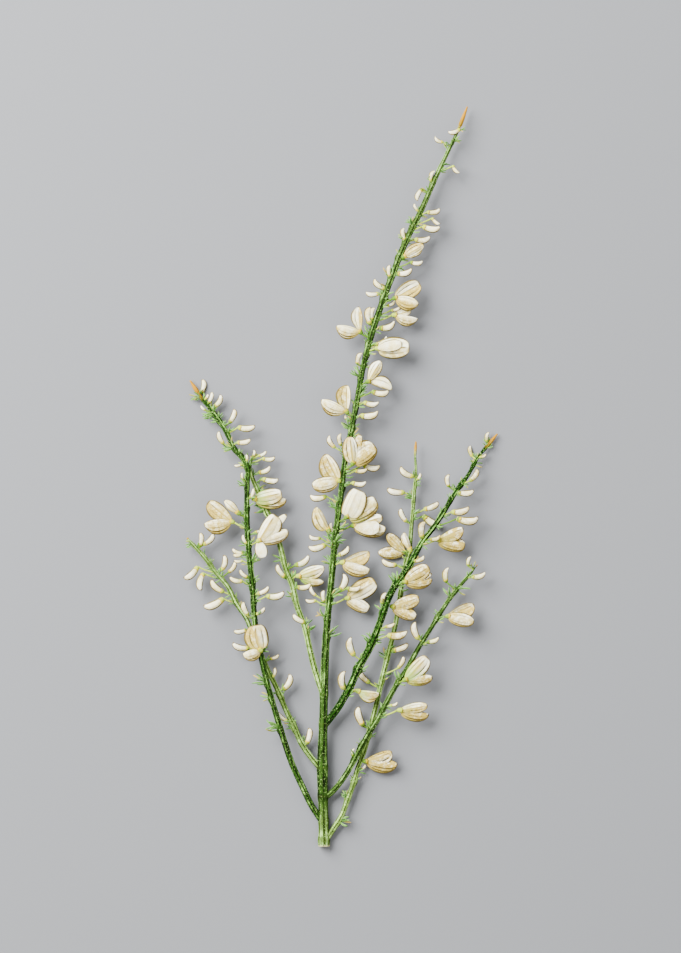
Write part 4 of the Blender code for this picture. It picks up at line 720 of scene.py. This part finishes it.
# front, rear and rises: how far foot and tip lie above the bloom's middle, or above the line of its wings
standardForm = {"arch": 0.3, "bulge": 0.25, "wave": 0.14, "front": (0.25, 1.4), "rear": (-0.35, -0.7)}
wingForm = {  # shares are of how far the wings reach up and down
    "front": (0.2, 0.7), "rear": (-0.55, -0.8), "shares": (1.0, 0.76), "keelShares": (0.4, 1.0),
    # dusk is the painted shade on the far wing and extra petals; keelDusk adds to the bloom's on the keel,
    # and keelBackDusk is the keel's back's painted shade
    "green": 0.5, "pleat": 0.5, "extraPleat": 0.1, "dusk": 0.3,
    "keelTan": 0.25, "keelDusk": 0.3, "keelBackDusk": 0.5,
}
wingForms = {
    "nearWing": {"rises": (0.0, 0.0), "widest": 0.55, "arch": 0.35, "bulge": 0.75, "wave": 0.06},
    "farWing": {"rises": (-0.3, -0.5), "widest": 0.55, "arch": -0.4, "bulge": -0.7},
    "keel": {"rises": (-0.15, -0.2), "widest": 0.52, "arch": 0.1, "bulge": 0.3},
    "keelBack": {"rises": (-0.25, -0.35), "widest": 0.52, "arch": -0.2, "bulge": -0.3},
}
extraForm = {"widest": 0.6, "blunt": 0.5, "arch": 0.2, "bulge": 0.3, "wave": 0.1}
halfOpenForms = {
    "standard": {"rises": (0.3, 0.5), "arch": 0.9, "fold": -0.7, "bulge": 0.2},
    "nearWing": {"rises": (0.0, 0.1), "widest": 0.6, "blunt": 0.6, "arch": 0.4, "bulge": 0.35},
    "farWing": {"rises": (0.0, -0.3), "widest": 0.6, "blunt": 0.6, "arch": -0.5, "bulge": -0.45},
}


def petalSheet(
    root, tip, left, right, widest, blunt, arch, rises=(0.0, 0.0), fold=0.0, bulge=0.0, wave=0.0, bow=0.0,
    pleat=0.0,
):
    # midrib: a quadratic curve from root to tip, bowed sideways and arched up
    # width: t**p (1 - t)**q, scaled to 1 at its widest, from a narrow claw
    # depth: fold x |s| + bulge x (1 - s squared) + a wave along the edges - a narrow crease beside the midrib
    root, tip = root + rises[0] * up, tip + rises[1] * up
    t = (1 - (1 - np.linspace(0, 1, petalForm["rows"])) ** petalForm["ease"])[:, None]
    s = np.linspace(-1, 1, petalForm["columns"])[None, :]
    rising = blunt * widest / (1 - widest)
    swell = t**rising * (1 - t) ** blunt / (widest**rising * (1 - widest) ** blunt)
    claw = petalForm["claw"] * (1 - t) ** 0.5
    sideways = unit(np.cross(up, tip - root))
    width = np.where(s < 0, left, right) * swell + claw
    length = np.linalg.norm(tip - root)
    bowing = (4 * t * (1 - t))[..., None] * (arch * up + bow * length * sideways)
    midrib = root + t[..., None] * (tip - root) + bowing
    lengthwise, sidewise = petalForm["ripples"]
    ripple = wave * np.sin(lengthwise * t + sidewise * s) * s**2 * swell
    valley = bell(np.abs(s) - petalForm["creaseAt"], petalForm["creaseBreadth"])
    creased = petalForm["crease"] * pleat * valley
    folded = fold * np.abs(s) ** petalForm["foldCurve"]
    depth = (folded + bulge * (1 - s**2) - creased) * swell + ripple
    sheet = midrib - (s * width)[..., None] * sideways + depth[..., None] * up
    return sheet, s, t


def addPetal(bundle, sheetParts, dusk=0.0, **values):
    # a closed wall on both sides of the sheet, thinner at its edges; dusk is a painted shade on the half on
    # its sign's side
    sheet, s, t = sheetParts
    normal = unit(np.cross(np.gradient(sheet, axis=0), np.gradient(sheet, axis=1)) + 1e-12)
    thinning = (1 - petalForm["thinSides"] * s**8) * (1 - petalForm["thinEnd"] * t**12)
    half = petalForm["thick"] / 2 * thinning
    sheet = np.concatenate([sheet[..., :2], np.maximum(sheet[..., 2:], half[..., None])], axis=2)
    rear = (sheet - half[..., None] * normal)[:, ::-1]
    rings = np.concatenate([sheet + half[..., None] * normal, rear[:, 1:-1]], axis=1)
    across = np.concatenate([s, s[:, ::-1][:, 1:-1]], axis=1)
    towards = petalForm["duskFrom"] + petalForm["duskRise"] * np.sign(dusk) * across
    shaded = abs(dusk) * np.clip(towards, 0, 1) ** 0.5
    addTube(bundle, rings, across=across, along=t, dusk=shaded, **values)


def bloomPetals(route, row):  # each petal's sheet and finish, in the order they are laid
    bloom = {**(halfOpenBloom if row.get("halfOpen") else openBloom), **row}
    mouth, ahead, across = bloomFrame(route, bloom)
    root = mouth - petalForm["rootInCup"] * ahead
    standardTip = np.array([*bloom["standard"], mouth[2]])
    wingTip = np.array([*bloom.get("wingTip", bloom["keel"]), mouth[2]])
    breadth, wingDusk = bloom["breadth"], bloom["wingDusk"]
    wingTan = bloom.get("wingTan", bloom["tan"])
    wingGreen = bloom.get("wingGreen", wingForm["green"] * bloom["green"])
    ownFinish = {"fold": bloom["rib"], **{key: bloom[key] for key in ("tan", "green", "pleat", "dusk")}}
    wingFinish = {"fold": 0.0, "tan": wingTan, "green": wingGreen}
    wingFinish.update({key: wingForm[key] for key in ("pleat", "dusk")})
    ownShape = {key: bloom[key] for key in ("widest", "blunt", "pleat")}
    made = {}

    def innerSign(start, end):  # the sign of s on the side away from the standard
        return 1 if np.dot(np.cross(up, end - start), across) > 0 else -1

    def lay(part, start, end, outer, inner, finishOf, **shape):  # outer width is on the standard's side
        left, right = (outer, inner) if innerSign(start, end) > 0 else (inner, outer)
        made[part] = petalSheet(start, end, left, right, **shape), finishOf

    if row.get("halfOpen"):
        lean, spread, forms = bloom["lean"], bloom["spread"], halfOpenForms
        widths = spread * lean * breadth, spread * (1 - lean) * breadth
        lay("standard", root, standardTip, *widths, ownFinish, **ownShape, **forms["standard"])
        widths = bloom["wingLean"] * lean * breadth, (bloom["wingSpread"] - spread * lean) * breadth
        # the near wing gets the bloom's painted shade on its inner half, and the far wing a fixed painted
        # shade
        nearFinish = {**wingFinish, "dusk": wingDusk * innerSign(root, wingTip)}
        lay("nearWing", root, wingTip, *widths, nearFinish, **forms["nearWing"])
        lay("farWing", root, wingTip, *widths, wingFinish, **forms["farWing"])
        return made

    facing, split = bloom["facing"], bloom["split"]
    standardPlace, wingPlace = ("front", "rear") if facing > 0 else ("rear", "front")
    lay(
        "standard", root, standardTip, split * breadth, (1 - split) * breadth, ownFinish, **ownShape,
        rises=standardForm[standardPlace], arch=standardForm["arch"], bulge=standardForm["bulge"] * facing,
        wave=standardForm["wave"], fold=-bloom["fold"] * breadth * facing, bow=bloom["bow"],
    )
    for number, (x, y, extraBreadth, height) in enumerate(bloom["extras"]):
        tip, half = np.array([x, y, mouth[2] + height]), 0.5 * extraBreadth
        sheet = petalSheet(root + 0.5 * height * up, tip, half, half, **extraForm)
        made[f"extra{number}"] = sheet, {**wingFinish, "pleat": wingForm["extraPleat"]}
    start, end = (point + rise * up for point, rise in zip((root, wingTip), wingForm[wingPlace]))
    reaches = [share * np.linalg.norm(wingTip - mouth) for share in bloom["wing"]]
    inner = innerSign(start, end)
    keel, keelTan = wingForm["keelShares"], wingTan + wingForm["keelTan"]
    # each dusk here is a painted shade: the bloom's own on the inner half of the near wing and keel, a fixed
    # one on the far wing and the keel's back
    for part, shares, tan, dusk in (
        ("nearWing", wingForm["shares"], wingTan, wingDusk * inner),
        ("farWing", wingForm["shares"], wingTan, wingForm["dusk"]),
        ("keel", keel, keelTan, (wingDusk + wingForm["keelDusk"]) * inner),
        ("keelBack", keel, keelTan, wingForm["keelBackDusk"]),
    ):
        widths = (share * reach for share, reach in zip(shares, reaches))
        finishOf = {**wingFinish, "tan": tan, "dusk": dusk}
        lay(part, start, end, *widths, finishOf, blunt=bloom["wingBlunt"], **wingForms[part])
    return made


# materials


def newMaterial(name, look):
    material = bpy.data.materials.new(name)
    material.use_nodes = True
    shader = material.node_tree.nodes["Principled BSDF"]
    shader.inputs["Roughness"].default_value = look["roughness"]
    shader.inputs["Specular IOR Level"].default_value = look["gloss"]
    return material, shader


def nodeMaker(material, shader):  # short calls, each of which adds a node and gives its output
    tree = material.node_tree

    def make(kind, output, inputs, **settings):
        node = tree.nodes.new(kind)
        for key, value in settings.items():
            setattr(node, key, value)
        for key, value in inputs.items():
            if isinstance(value, bpy.types.NodeSocket):
                tree.links.new(value, node.inputs[key])
            else:
                node.inputs[key].default_value = value
        return node.outputs[output]

    def maths(operation, a, b=0.0, c=0.0):
        return make("ShaderNodeMath", 0, {0: a, 1: b, 2: c}, operation=operation)

    def times(a, b, plus=None):  # a x b, or a x b + plus
        return maths("MULTIPLY", a, b) if plus is None else maths("MULTIPLY_ADD", a, b, plus)

    def ramp(value, low, high, toLow=0.0, toHigh=1.0):  # a smooth step
        ends = {"Value": value, "From Min": low, "From Max": high, "To Min": toLow, "To Max": toHigh}
        return make("ShaderNodeMapRange", "Result", ends, interpolation_type="SMOOTHSTEP")

    def mix(factor, a, b):
        return make("ShaderNodeMix", 2, {0: factor, 6: a, 7: b}, data_type="RGBA")

    def value(name):
        return make("ShaderNodeAttribute", "Fac", {}, attribute_name=name)

    def noise(scale, detail, roughness=0.55):
        place = make("ShaderNodeTexCoord", "Object", {})
        inputs = {"Vector": place, "Scale": scale, "Detail": detail, "Roughness": roughness}
        return make("ShaderNodeTexNoise", "Fac", inputs)

    def cover(colour, height=None, strength=0.0):  # ends the material: its colour and how bumpy it is
        tree.links.new(colour, shader.inputs["Base Color"])
        if height is not None:
            inputs = {"Height": height, "Strength": strength, "Distance": 0.2 * mm}
            tree.links.new(make("ShaderNodeBump", "Normal", inputs), shader.inputs["Normal"])
        return material

    return maths, times, ramp, mix, value, noise, cover


# Noises are scale, detail and, if it is set, roughness. Pairs such as clouded are where a layer starts and
# where it is full, as a noise's value, a share of the half breadth or a share of the way from foot to tip.
# Where four numbers stand, the last two are its strengths there.
petalLook = {
    "cream": (0.99, 0.965, 0.73, 1), "ivory": (0.96, 0.86, 0.44, 1), "tan": (0.47, 0.340, 0.062, 1),
    # brown paints the shade lines in the creases and along the midrib; tan also paints the shade on one half
    # and beside the midrib
    "vein": (0.17, 0.115, 0.018, 1), "rim": (0.105, 0.070, 0.009, 1), "brown": (0.034, 0.020, 0.003, 1),
    "leaf": (0.22, 0.38, 0.04, 1),
    "roughness": 0.6, "gloss": 0.2, "bump": 0.25, "veinBump": -0.6,
    "translucence": 0.1, "bleed": (1.0, 0.7, 0.4), "bleedDepth": 0.0006,  # metres
    "clouds": (260, 2), "mottling": (520, 3, 0.6), "grain": (900, 4), "stippling": (2300, 2),
    "wander": 0.12, "edgeWander": 0.10,  # how far the grain shifts lines and edges
    "clouded": (0.35, 0.7), "mottled": (0.36, 0.64, 0.12, 1.0), "duskMottle": (0.55, 0.35),
    "veins": 15.0, "veinSharpness": 14.0, "veined": (1.0, 0.15),
    "stippled": (0.55, 0.68), "leastStipple": 0.12,
    "creaseAt": 0.55, "creaseLine": (0.10, 0.03), "creased": (0.98, 0.6),
    "rimSide": (0.85, 0.94), "rimEnd": (0.94, 0.98), "clawEnd": (0.42, 0.08), "greenEnd": (0.75, 0.1),
    "midribLine": (0.12, 0.05), "midribEnd": (0.98, 0.8),
    "besideOuter": (0.45, 0.0), "besideInner": (-0.12, 0.02), "besideEnd": (1.0, 0.5),
    # how strongly each layer covers the one below; of a pair, the second is added for a tan petal
    "blotches": 1.45, "shade": 1.4, "veining": (0.26, 0.6), "stipple": 0.7, "crease": 1.2,
    "edging": (0.95, 0.3), "claw": (0.35, 0.6), "midrib": 0.95, "shadeBesideMidrib": 0.9,
}
barkLook = {
    # the groove colours are painted shade in the grooves and the crest colours painted highlights on the
    # ribs; the dark and pale specks use them too
    "grooveShadeAndSpecks": (0.0005, 0.003, 0.0002, 1), "green": (0.0075, 0.036, 0.0015, 1), "crestHighlight": (0.20, 0.40, 0.07, 1),
    "paleGrooveShade": (0.020, 0.042, 0.003, 1), "paleGreen": (0.15, 0.25, 0.045, 1),
    "paleHighlightAndSpecks": (0.38, 0.58, 0.17, 1), "scar": (0.07, 0.05, 0.01, 1), "amber": (0.36, 0.165, 0.001, 1),
    "pith": (0.62, 0.54, 0.30, 1), "roughness": 0.75, "gloss": 0.03, "bumps": (2200, 3), "bump": 0.2,
    "streaking": 0.32, "fibres": (700, 3), "fibreStrength": 0.5, "fibreMiddle": -0.25,
    "patches": (240, 2), "patched": (0.35, 0.65, -0.25, 0.12),
    "ribbed": (0.15, 0.85), "crestHighlighting": (1.0, 1.3, 0.0, 0.95), "paleCrestHighlighting": (0.85, 1.2, 0.0, 0.95),
    "darkSpecks": (1700, 2), "darkSpecked": (0.52, 0.66, 0.0, 0.75),
    "paleSpecks": (2100, 2), "paleSpecked": (0.60, 0.70, 0.0, 0.55),
    "scars": (1500, 2), "scarMottle": 0.6, "scarred": (0.95, 1.3), "scarring": 0.35,
}
leafLook = {
    "deep": (0.012, 0.062, 0.004, 1), "pale": (0.11, 0.27, 0.035, 1), "edge": (0.62, 0.80, 0.40, 1),
    "dry": (0.48, 0.28, 0.06, 1), "roughness": 0.6, "gloss": 0.08, "clouds": (800, 3), "shading": 0.4,
    "clouded": (0.35, 0.95), "edged": (0.6, 0.95, 0.0, 0.75), "dried": (0.2, 1.0),
}
cupLook = {
    "green": (0.075, 0.17, 0.007, 1), "pale": (0.34, 0.44, 0.035, 1), "amber": (0.60, 0.38, 0.006, 1),
    "rim": (0.10, 0.05, 0.003, 1), "roughness": 0.6, "gloss": 0.08, "clouds": (900, 3),
    "clouded": (0.5, 1.3), "spots": (1100, 3), "spotStrength": 0.8, "spotted": (0.85, 1.3),
    "rimmed": (0.88, 1.0, 0.0, 0.6),
}


def petalMaterial():
    # cream clouded with ivory and blotched with tan; a painted shade on one half, painted shade lines along
    # the midrib and in the creases, and a painted shade band beside the midrib; brown edges; brown stipples,
    # thickest where it is tan and where shade is painted; fine veins that fan from the claw, which is
    # greenish
    look = petalLook
    material, shader = newMaterial("petalIvory", look)
    maths, times, ramp, mix, value, noise, cover = nodeMaker(material, shader)
    s, t, tan = value("across"), value("along"), value("tan")
    wide, grain = maths("ABSOLUTE", s), noise(*look["grain"])

    def byTan(layer):  # a layer's strength, which grows with the petal's tan
        return times(tan, look[layer][1], look[layer][0])

    base = mix(ramp(noise(*look["clouds"]), *look["clouded"]), look["cream"], look["ivory"])
    mottle = ramp(noise(*look["mottling"]), *look["mottled"])
    base = mix(times(times(tan, mottle), look["blotches"]), base, look["tan"])
    # a painted shade on the half that dusk marks, mottled
    shaded = times(value("dusk"), times(mottle, *look["duskMottle"]))
    base = mix(times(shaded, look["shade"]), base, look["tan"])
    wave = maths("COSINE", times(times(grain, look["wander"], s), look["veins"]))
    vein = maths("POWER", maths("ABSOLUTE", wave), look["veinSharpness"])
    vein = times(vein, ramp(t, *look["veined"]))
    base = mix(times(vein, byTan("veining")), base, look["vein"])
    # stipples thicken with the tan and with the painted shade
    tanAndShade = maths("ADD", tan, maths("ADD", shaded, look["leastStipple"]))
    stipple = times(ramp(noise(*look["stippling"]), *look["stippled"]), tanAndShade)
    base = mix(times(stipple, look["stipple"]), base, look["rim"])
    # a painted shade line in the crease beside the midrib
    offLine = maths("ABSOLUTE", maths("ADD", times(grain, look["edgeWander"], wide), -look["creaseAt"]))
    crease = times(times(ramp(offLine, *look["creaseLine"]), ramp(t, *look["creased"])), value("pleat"))
    base = mix(times(crease, look["crease"]), base, look["brown"])
    side = ramp(times(grain, look["edgeWander"], wide), *look["rimSide"])
    rim = maths("MAXIMUM", side, ramp(t, *look["rimEnd"]))
    base = mix(times(rim, byTan("edging")), base, look["rim"])
    claw = ramp(times(grain, look["wander"], t), *look["clawEnd"])
    base = mix(times(claw, byTan("claw")), base, look["tan"])
    # a painted shade line along the midrib's fold
    midrib = times(ramp(wide, *look["midribLine"]), ramp(t, *look["midribEnd"]))
    midrib = times(midrib, value("fold"))
    base = mix(times(midrib, look["midrib"]), base, look["brown"])
    # a band of painted shade beside the midrib, on one side of it
    beside = times(ramp(s, *look["besideOuter"]), ramp(s, *look["besideInner"]))
    beside = times(times(beside, value("fold")), ramp(t, *look["besideEnd"]))
    base = mix(times(beside, look["shadeBesideMidrib"]), base, look["tan"])
    base = mix(times(value("green"), ramp(t, *look["greenEnd"])), base, look["leaf"])
    shader.inputs["Subsurface Weight"].default_value = look["translucence"]
    shader.inputs["Subsurface Radius"].default_value = look["bleed"]
    shader.inputs["Subsurface Scale"].default_value = look["bleedDepth"]
    return cover(base, times(vein, look["veinBump"], grain), look["bump"])


def barkMaterial():
    # painted shade in the grooves and painted highlights on the ribs, broken by random streaks and patches;
    # dark and pale specks, tan scars and amber tips
    look = barkLook
    material, shader = newMaterial("barkGreen", look)
    maths, times, ramp, mix, value, noise, cover = nodeMaker(material, shader)
    # the rib, with random streaks and patches on it, places the painted groove shade and crest highlights
    streak = times(value("streak"), look["streaking"], value("rib"))
    streak = times(noise(*look["fibres"]), look["fibreStrength"], streak)
    streak = maths("ADD", streak, look["fibreMiddle"])
    streak = maths("ADD", streak, ramp(noise(*look["patches"]), *look["patched"]))
    # ribbed fades the painted groove shade into green
    dark = mix(ramp(streak, *look["ribbed"]), look["grooveShadeAndSpecks"], look["green"])
    dark = mix(ramp(streak, *look["crestHighlighting"]), dark, look["crestHighlight"])
    pale = mix(ramp(streak, *look["ribbed"]), look["paleGrooveShade"], look["paleGreen"])
    pale = mix(ramp(streak, *look["paleCrestHighlighting"]), pale, look["paleHighlightAndSpecks"])
    base = mix(value("tone"), dark, pale)
    base = mix(ramp(noise(*look["darkSpecks"]), *look["darkSpecked"]), base, look["grooveShadeAndSpecks"])
    base = mix(ramp(noise(*look["paleSpecks"]), *look["paleSpecked"]), base, look["paleHighlightAndSpecks"])
    mark = ramp(times(noise(*look["scars"]), look["scarMottle"], value("mark")), *look["scarred"])
    base = mix(times(mark, look["scarring"]), base, look["scar"])
    base = mix(value("amber"), base, look["amber"])
    base = mix(value("cut"), base, look["pith"])
    return cover(base, noise(*look["bumps"]), look["bump"])


def leafMaterial():  # deep green that clouds to pale, with pale edges; some blades are dry at the tip
    look = leafLook
    material, shader = newMaterial("leafletGreen", look)
    maths, times, ramp, mix, value, noise, cover = nodeMaker(material, shader)
    wide = maths("ABSOLUTE", value("across"))
    cloud = times(value("shade"), look["shading"], noise(*look["clouds"]))
    base = mix(ramp(cloud, *look["clouded"]), look["deep"], look["pale"])
    base = mix(ramp(wide, *look["edged"]), base, look["edge"])
    base = mix(times(value("dry"), ramp(value("along"), *look["dried"])), base, look["dry"])
    return cover(base)


def cupMaterial():  # green that clouds to pale, amber towards the mouth and brown at its rim
    look = cupLook
    material, shader = newMaterial("cupGreen", look)
    maths, times, ramp, mix, value, noise, cover = nodeMaker(material, shader)
    cloud = maths("ADD", noise(*look["clouds"]), value("shade"))
    base = mix(ramp(cloud, *look["clouded"]), look["green"], look["pale"])
    spot = ramp(times(noise(*look["spots"]), look["spotStrength"], value("along")), *look["spotted"])
    base = mix(times(value("dry"), spot), base, look["amber"])
    base = mix(ramp(value("along"), *look["rimmed"]), base, look["rim"])
    return cover(base)


petal, bark, leaf, green = petalMaterial(), barkMaterial(), leafMaterial(), cupMaterial()
print("materials made")

# growing: routes first, then blooms; buds and leaflets then try places clear of the other nodes

leafletForm = {
    "radius": 0.55, "tip": 0.2, "foot": 0.35, "beyond": 0.5, "tries": 14, "seed": 8,
    "fan": (18, 80), "scatter": 9, "rise": (-0.35, 0.6), "reach": (0.85, 1.1),  # those that the solids have
    "fine": 1.6, "fineAngle": (12, 95), "fineRise": (-0.3, 0.8), "fineReach": (0.55, 0.95),  # smaller ones
    "atBud": 3, "budLength": 3.6,
}
detailSeed = 21

mainRoute = smoothCurve(stems["main_stem"]["route"], routeForm["step"])
pointsOf = {name: fullRoute(name, mainRoute) for name in stems}
routeOf = {name: smoothCurve(points, routeForm["step"]) for name, points in pointsOf.items()}
grown = {name: [routeOf[name]] for name in stems}  # what stands where, as x, y, z, radius
petalsOf = {}
rowStep, columnStep = petalForm["rowStep"], petalForm["columnStep"]
for name, rows in blooms.items():
    for number, bloom in enumerate(rows, 1):
        node = name.replace("stem", f"bloom_{number}")
        petalsOf[node] = bloomPetals(routeOf[name], bloom)
        sheets = [parts[0][::rowStep, ::columnStep] for parts, finishOf in petalsOf[node].values()]
        points = np.concatenate([sheet.reshape(-1, 3) for sheet in sheets])
        grown[node] = [np.pad(points, ((0, 0), (0, 1)), constant_values=petalForm["clearRadius"])]
        grown[name].append(alongPath(cupPath(routeOf[name], bloom)[:-1]))


def othersOf(name):
    return np.concatenate([points for node, lists in grown.items() if node != name for points in lists])


budPaths = {}
for name in stems:
    others = othersOf(name)
    budPaths[name] = []
    for bud in stems[name]["buds"]:
        tries = [budPath(routeOf[name], bud, lift) for lift in bud[4:] or budForm["lifts"]]
        good = [path for path in tries if isClear(alongPath(path[1:]), others)]
        path = (good or tries)[0]
        budPaths[name].append(path)
        grown[name].append(alongPath(path))

leafletEnds = {name: [] for name in stems}


def growLeaflet(name, height, side, length, angle, others, random):  # an angle of None draws a small one
    x, y, z, radius = stemPlace(routeOf[name], height)
    ahead = unit((stemPlace(routeOf[name], height + 1) - stemPlace(routeOf[name], height - 1))[:3])
    outward = side * np.array((ahead[1], -ahead[0], 0.0))
    for _ in range(leafletForm["tries"]):
        if angle is None:
            turn, share = random.uniform(*leafletForm["fineAngle"]), random.uniform(*leafletForm["fineReach"])
            rise = random.uniform(*leafletForm["fineRise"])
        else:
            turn = angle + random.uniform(-leafletForm["scatter"], leafletForm["scatter"])
            rise, share = random.uniform(*leafletForm["rise"]), random.uniform(*leafletForm["reach"])
        turn = math.radians(turn)
        way = unit(math.cos(turn) * ahead + math.sin(turn) * outward + rise * up)
        foot = np.array((x, y, z)) + leafletForm["foot"] * radius * outward
        tip = foot + (share * length + leafletForm["beyond"] * radius) * way
        points = alongPath([[*foot, leafletForm["radius"]], [*tip, leafletForm["tip"]]])
        if isClear(points[1:], others):
            leafletEnds[name].append((foot, tip))
            grown[name].append(points)
            break


for name in stems:  # the leaflets that the solids have
    others = othersOf(name)
    start, end = leafletForm["fan"]
    for tuft, (height, side, count, length) in enumerate(stems[name]["tufts"]):
        for k in range(count):
            random = np.random.default_rng((leafletForm["seed"], len(name), tuft, k))
            angle = start + (k + 0.5) / count * (end - start)
            growLeaflet(name, height, side, length, angle, others, random)
for name in stems:  # smaller ones among them, and a few where each bud and bloom leaves the stem
    others = othersOf(name)
    random = np.random.default_rng((leafletForm["seed"], len(name)))
    for height, side, count, length in stems[name]["tufts"]:
        for _ in range(math.ceil(leafletForm["fine"] * count)):
            growLeaflet(name, height, side, length, None, others, random)
    feet = [(path[0], path[1]) for path in budPaths[name]]
    feet += [cupPath(routeOf[name], bloom)[:2] for bloom in blooms.get(name, [])]
    for foot, cup in feet:
        side = 1 if cup[0] > foot[0] else -1
        for _ in range(leafletForm["atBud"]):
            growLeaflet(name, foot[1], side, leafletForm["budLength"], None, others, random)
print("placed", sum(map(len, budPaths.values())), "buds and", sum(map(len, leafletEnds.values())), "leaflets")

detail = np.random.default_rng(detailSeed)
for name in stems:
    points = pointsOf[name]
    if "leavesMainAt" in stems[name]:  # its bark starts on the main stem's axis, inside the main stem's bark
        x, y, z, radius = stemPlace(mainRoute, stems[name]["leavesMainAt"])
        points = [np.array((x, y, z, barkForm["root"] * points[1][3]))] + points[1:]
    makePiece(f"{name}_bark", stemBundle(name, points, detail), bark, "stem", name)
    blades, cups, buds = newBundle(), newBundle(), newBundle()
    for foot, tip in leafletEnds[name]:
        addLeaflet(blades, foot, tip, detail)
    for path in budPaths[name]:
        outward = np.sign(path[1][0] - stemPlace(routeOf[name], path[1][1])[0])
        addBud(cups, buds, path, detail, stems[name], outward)
    for bloom in blooms.get(name, []):
        foot, neck, mouth = (p[:3] for p in cupPath(routeOf[name], bloom))
        ahead = unit(mouth - neck)
        shade, amber = detail.uniform(0, 1), bloom.get("amber", detail.uniform(*cupForm["ambers"]))
        addCup(cups, neck + cupForm["start"] * ahead, ahead, **cupForm["drawn"], shade=shade, amber=amber)
        addStalk(cups, foot, neck + cupForm["stalkEnd"] * ahead, cupForm["stalk"], shade)
    makePiece(f"{name}_leaflets", blades, leaf, "stem", name)
    makePiece(f"{name}_cups", cups, green, "stem", name)
    makePiece(f"{name}_buds", buds, petal, "petal", name)
print("stems made")

for node, petals in petalsOf.items():
    bundle = newBundle()
    for sheetParts, finishOf in petals.values():
        addPetal(bundle, sheetParts, shade=detail.uniform(0, 1), **finishOf)
    makePiece(f"{node}_petals", bundle, petal, "petal", node)
print("blooms made")

# stage: a plain pale floor, soft light and a camera straight above

stageForm = {
    "floor": (0.165, 0.170, 0.178, 1), "roughness": 0.9, "gloss": 0.2, "size": 4.0,
    "sky": (1.0, 0.99, 0.97, 1), "skyStrength": 0.78,
}
photoView = {
    "lens": 200, "sensor": 36, "frameHeight": 0.3812, "centre": (0.0, 0.0006), "aim": 0.006, "far": 10,
}
lights = {
    "key": {"place": (-0.75, 0.6, 0.85), "size": 1.0, "energy": 108},
    "fill": {"place": (0.8, -0.35, 0.9), "size": 1.2, "energy": 8},
}

half = stageForm["size"] / 2
floorMesh = bpy.data.meshes.new("floor")
corners = [(-half, -half, 0), (half, -half, 0), (half, half, 0), (-half, half, 0)]
floorMesh.from_pydata(corners, [], [(0, 1, 2, 3)])
floor = bpy.data.objects.new("floor", floorMesh)
bpy.context.scene.collection.objects.link(floor)
floorMaterial, floorShader = newMaterial("floorPale", stageForm)
floorShader.inputs["Base Color"].default_value = stageForm["floor"]
floorMesh.materials.append(floorMaterial)

for name, light in lights.items():
    data = bpy.data.lights.new(name, "AREA")
    data.energy, data.size = light["energy"], light["size"]
    lamp = bpy.data.objects.new(name, data)
    lamp.location = light["place"]
    lamp.rotation_euler = (-Vector(light["place"])).to_track_quat("-Z", "Y").to_euler()
    bpy.context.scene.collection.objects.link(lamp)

world = bpy.data.worlds.new("softRoom")
world.use_nodes = True
world.node_tree.nodes["Background"].inputs["Color"].default_value = stageForm["sky"]
world.node_tree.nodes["Background"].inputs["Strength"].default_value = stageForm["skyStrength"]
bpy.context.scene.world = world

cameraData = bpy.data.cameras.new("camera")
cameraData.lens, cameraData.sensor_width = photoView["lens"], photoView["sensor"]
cameraData.clip_end = photoView["far"]
camera = bpy.data.objects.new("camera", cameraData)
distance = photoView["frameHeight"] * photoView["lens"] / photoView["sensor"]
camera.location = (*photoView["centre"], distance + photoView["aim"])
bpy.context.scene.collection.objects.link(camera)
bpy.context.scene.camera = camera
print("stage made")
